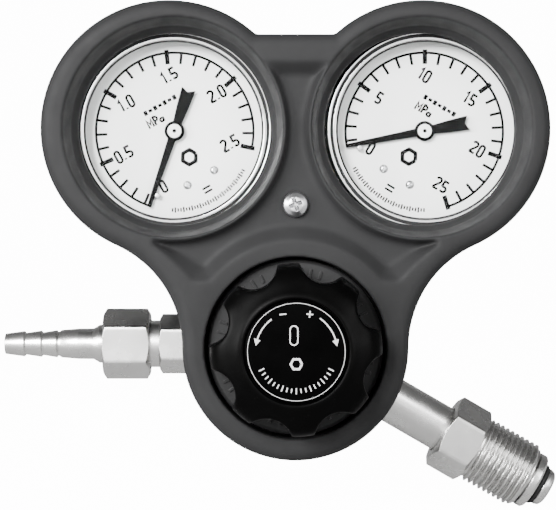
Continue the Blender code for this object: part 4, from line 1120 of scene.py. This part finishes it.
LIGHTS = {
    "key": ((-0.46, -1.1, 0.4), 0.45, 46.0),
    "left_fill": ((-1.0, -0.6, 0.25), 0.5, 28.0),
    "right_fill": ((0.9, -0.9, 0.3), 0.6, 14.0),
    "front_fill": ((0.1, -1.25, 0.3), 1.5, 11.0),
    "back_fill": ((0.85, 0.85, 0.3), 0.6, 22.0),
}
LIT_SPOT = (0, -0.03, 0.03)
WHITE = (1, 1, 1, 1)
BACKDROP = 14.0
FLOOR_NEAR = -3.0
FLOOR_FAR = 1.2
FLOOR_CURVE = 0.7
FOCAL = 122.4
CAMERA_SPOT = (-0.00544, PORT_Y - 0.614, 0.0288)


def area_light(name, place, size, power):
    data = bpy.data.lights.new(name, "AREA")
    data.shape = "RECTANGLE"
    data.size = size
    data.size_y = size
    data.energy = power
    obj = placed(name, data)
    obj.location = place
    obj.rotation_euler = (Vector(LIT_SPOT) - Vector(place)).to_track_quat("-Z", "Y").to_euler()
    return obj


def build_floor():
    """A floor that curves up into a wall and shows as white to the camera."""
    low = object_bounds()[0].z
    profile = [(FLOOR_NEAR, low), (FLOOR_FAR, low)]
    profile += arc((FLOOR_FAR, low + FLOOR_CURVE), FLOOR_CURVE, -90, 0, 16)[1:]
    profile.append((FLOOR_FAR + FLOOR_CURVE, low + 3.0))
    shape = bmesh.new()
    rows = [[shape.verts.new((x, y, z)) for x in (-4.0, 4.0)] for y, z in profile]
    for a, b in zip(rows, rows[1:]):
        shape.faces.new((a[0], a[1], b[1], b[0]))
    mesh = meshed("studio_floor", shape)
    mesh.shade_smooth()
    made, tree, shader = new_nodes("pale_floor")
    coords = add(tree, "ShaderNodeTexCoord").outputs["Object"]
    tint = mixed(tree, noise(tree, coords, 0.004), grey(0.3), grey(0.34))
    tree.links.new(tint, shader.inputs["Base Color"])
    shader.inputs["Roughness"].default_value = 0.85
    seen = add(tree, "ShaderNodeLightPath")
    lift = ranged(tree, seen.outputs["Is Camera Ray"], 0.0, 1.0, 0.0, BACKDROP)
    tree.links.new(lift, shader.inputs["Emission Strength"])
    shader.inputs["Emission Color"].default_value = WHITE
    mesh.materials.append(made)
    placed("studio_floor", mesh)


def build_world():
    """White to the camera, even grey as a light, and a banded sky in reflections."""
    world = bpy.data.worlds.new("studio")
    bpy.context.scene.world = world
    world.use_nodes = True
    tree = world.node_tree
    links = tree.links
    background = tree.nodes["Background"]
    background.inputs["Color"].default_value = WHITE
    coords = add(tree, "ShaderNodeTexCoord").outputs["Generated"]
    split = add(tree, "ShaderNodeSeparateXYZ", Vector=coords)
    ramp = add(tree, "ShaderNodeValToRGB", Fac=ranged(tree, split.outputs["Z"], -1.0, 1.0, 0.0, 1.0))
    stops = ramp.color_ramp.elements
    stops[0].color = (*grey(0.4), 1)
    stops[1].color = (*grey(0.12), 1)
    for position, value in ((0.4, 0.5), (0.5, 0.85), (0.62, 0.3), (0.78, 0.12)):
        stops.new(position).color = (*grey(value), 1)
    glossy = add(tree, "ShaderNodeBackground", Strength=1.5, Color=ramp.outputs[0])
    path = add(tree, "ShaderNodeLightPath")
    seen = ranged(tree, path.outputs["Is Camera Ray"], 0.0, 1.0, 0.4, BACKDROP)
    links.new(seen, background.inputs["Strength"])
    sky = shader_mix(tree, path.outputs["Is Glossy Ray"], background.outputs[0], glossy.outputs[0])
    links.new(sky, tree.nodes["World Output"].inputs["Surface"])


def build_stage():
    build_floor()
    build_world()
    for name, (place, size, power) in LIGHTS.items():
        light = area_light(name, place, size, power)
        light.visible_glossy = name != "back_fill"
    data = bpy.data.cameras.new("camera")
    data.sensor_width = 36.0
    data.lens = FOCAL
    data.clip_start = 0.01
    camera = placed("camera", data)
    camera.location = CAMERA_SPOT
    camera.rotation_euler = (math.pi / 2, 0, 0)
    bpy.context.scene.camera = camera


build_guard()
build_guard_fixings()
build_bonnet()
build_knob()
build_body()
build_rear()
build_inlet()
build_outlet()
for gauge_side in GAUGES:
    gauge = gauge_frame(gauge_side)
    for build in (build_case, build_dial, build_marks, build_pointer, build_bourdon):
        build(gauge_side, gauge)
build_springs()
repaint()
build_stage()
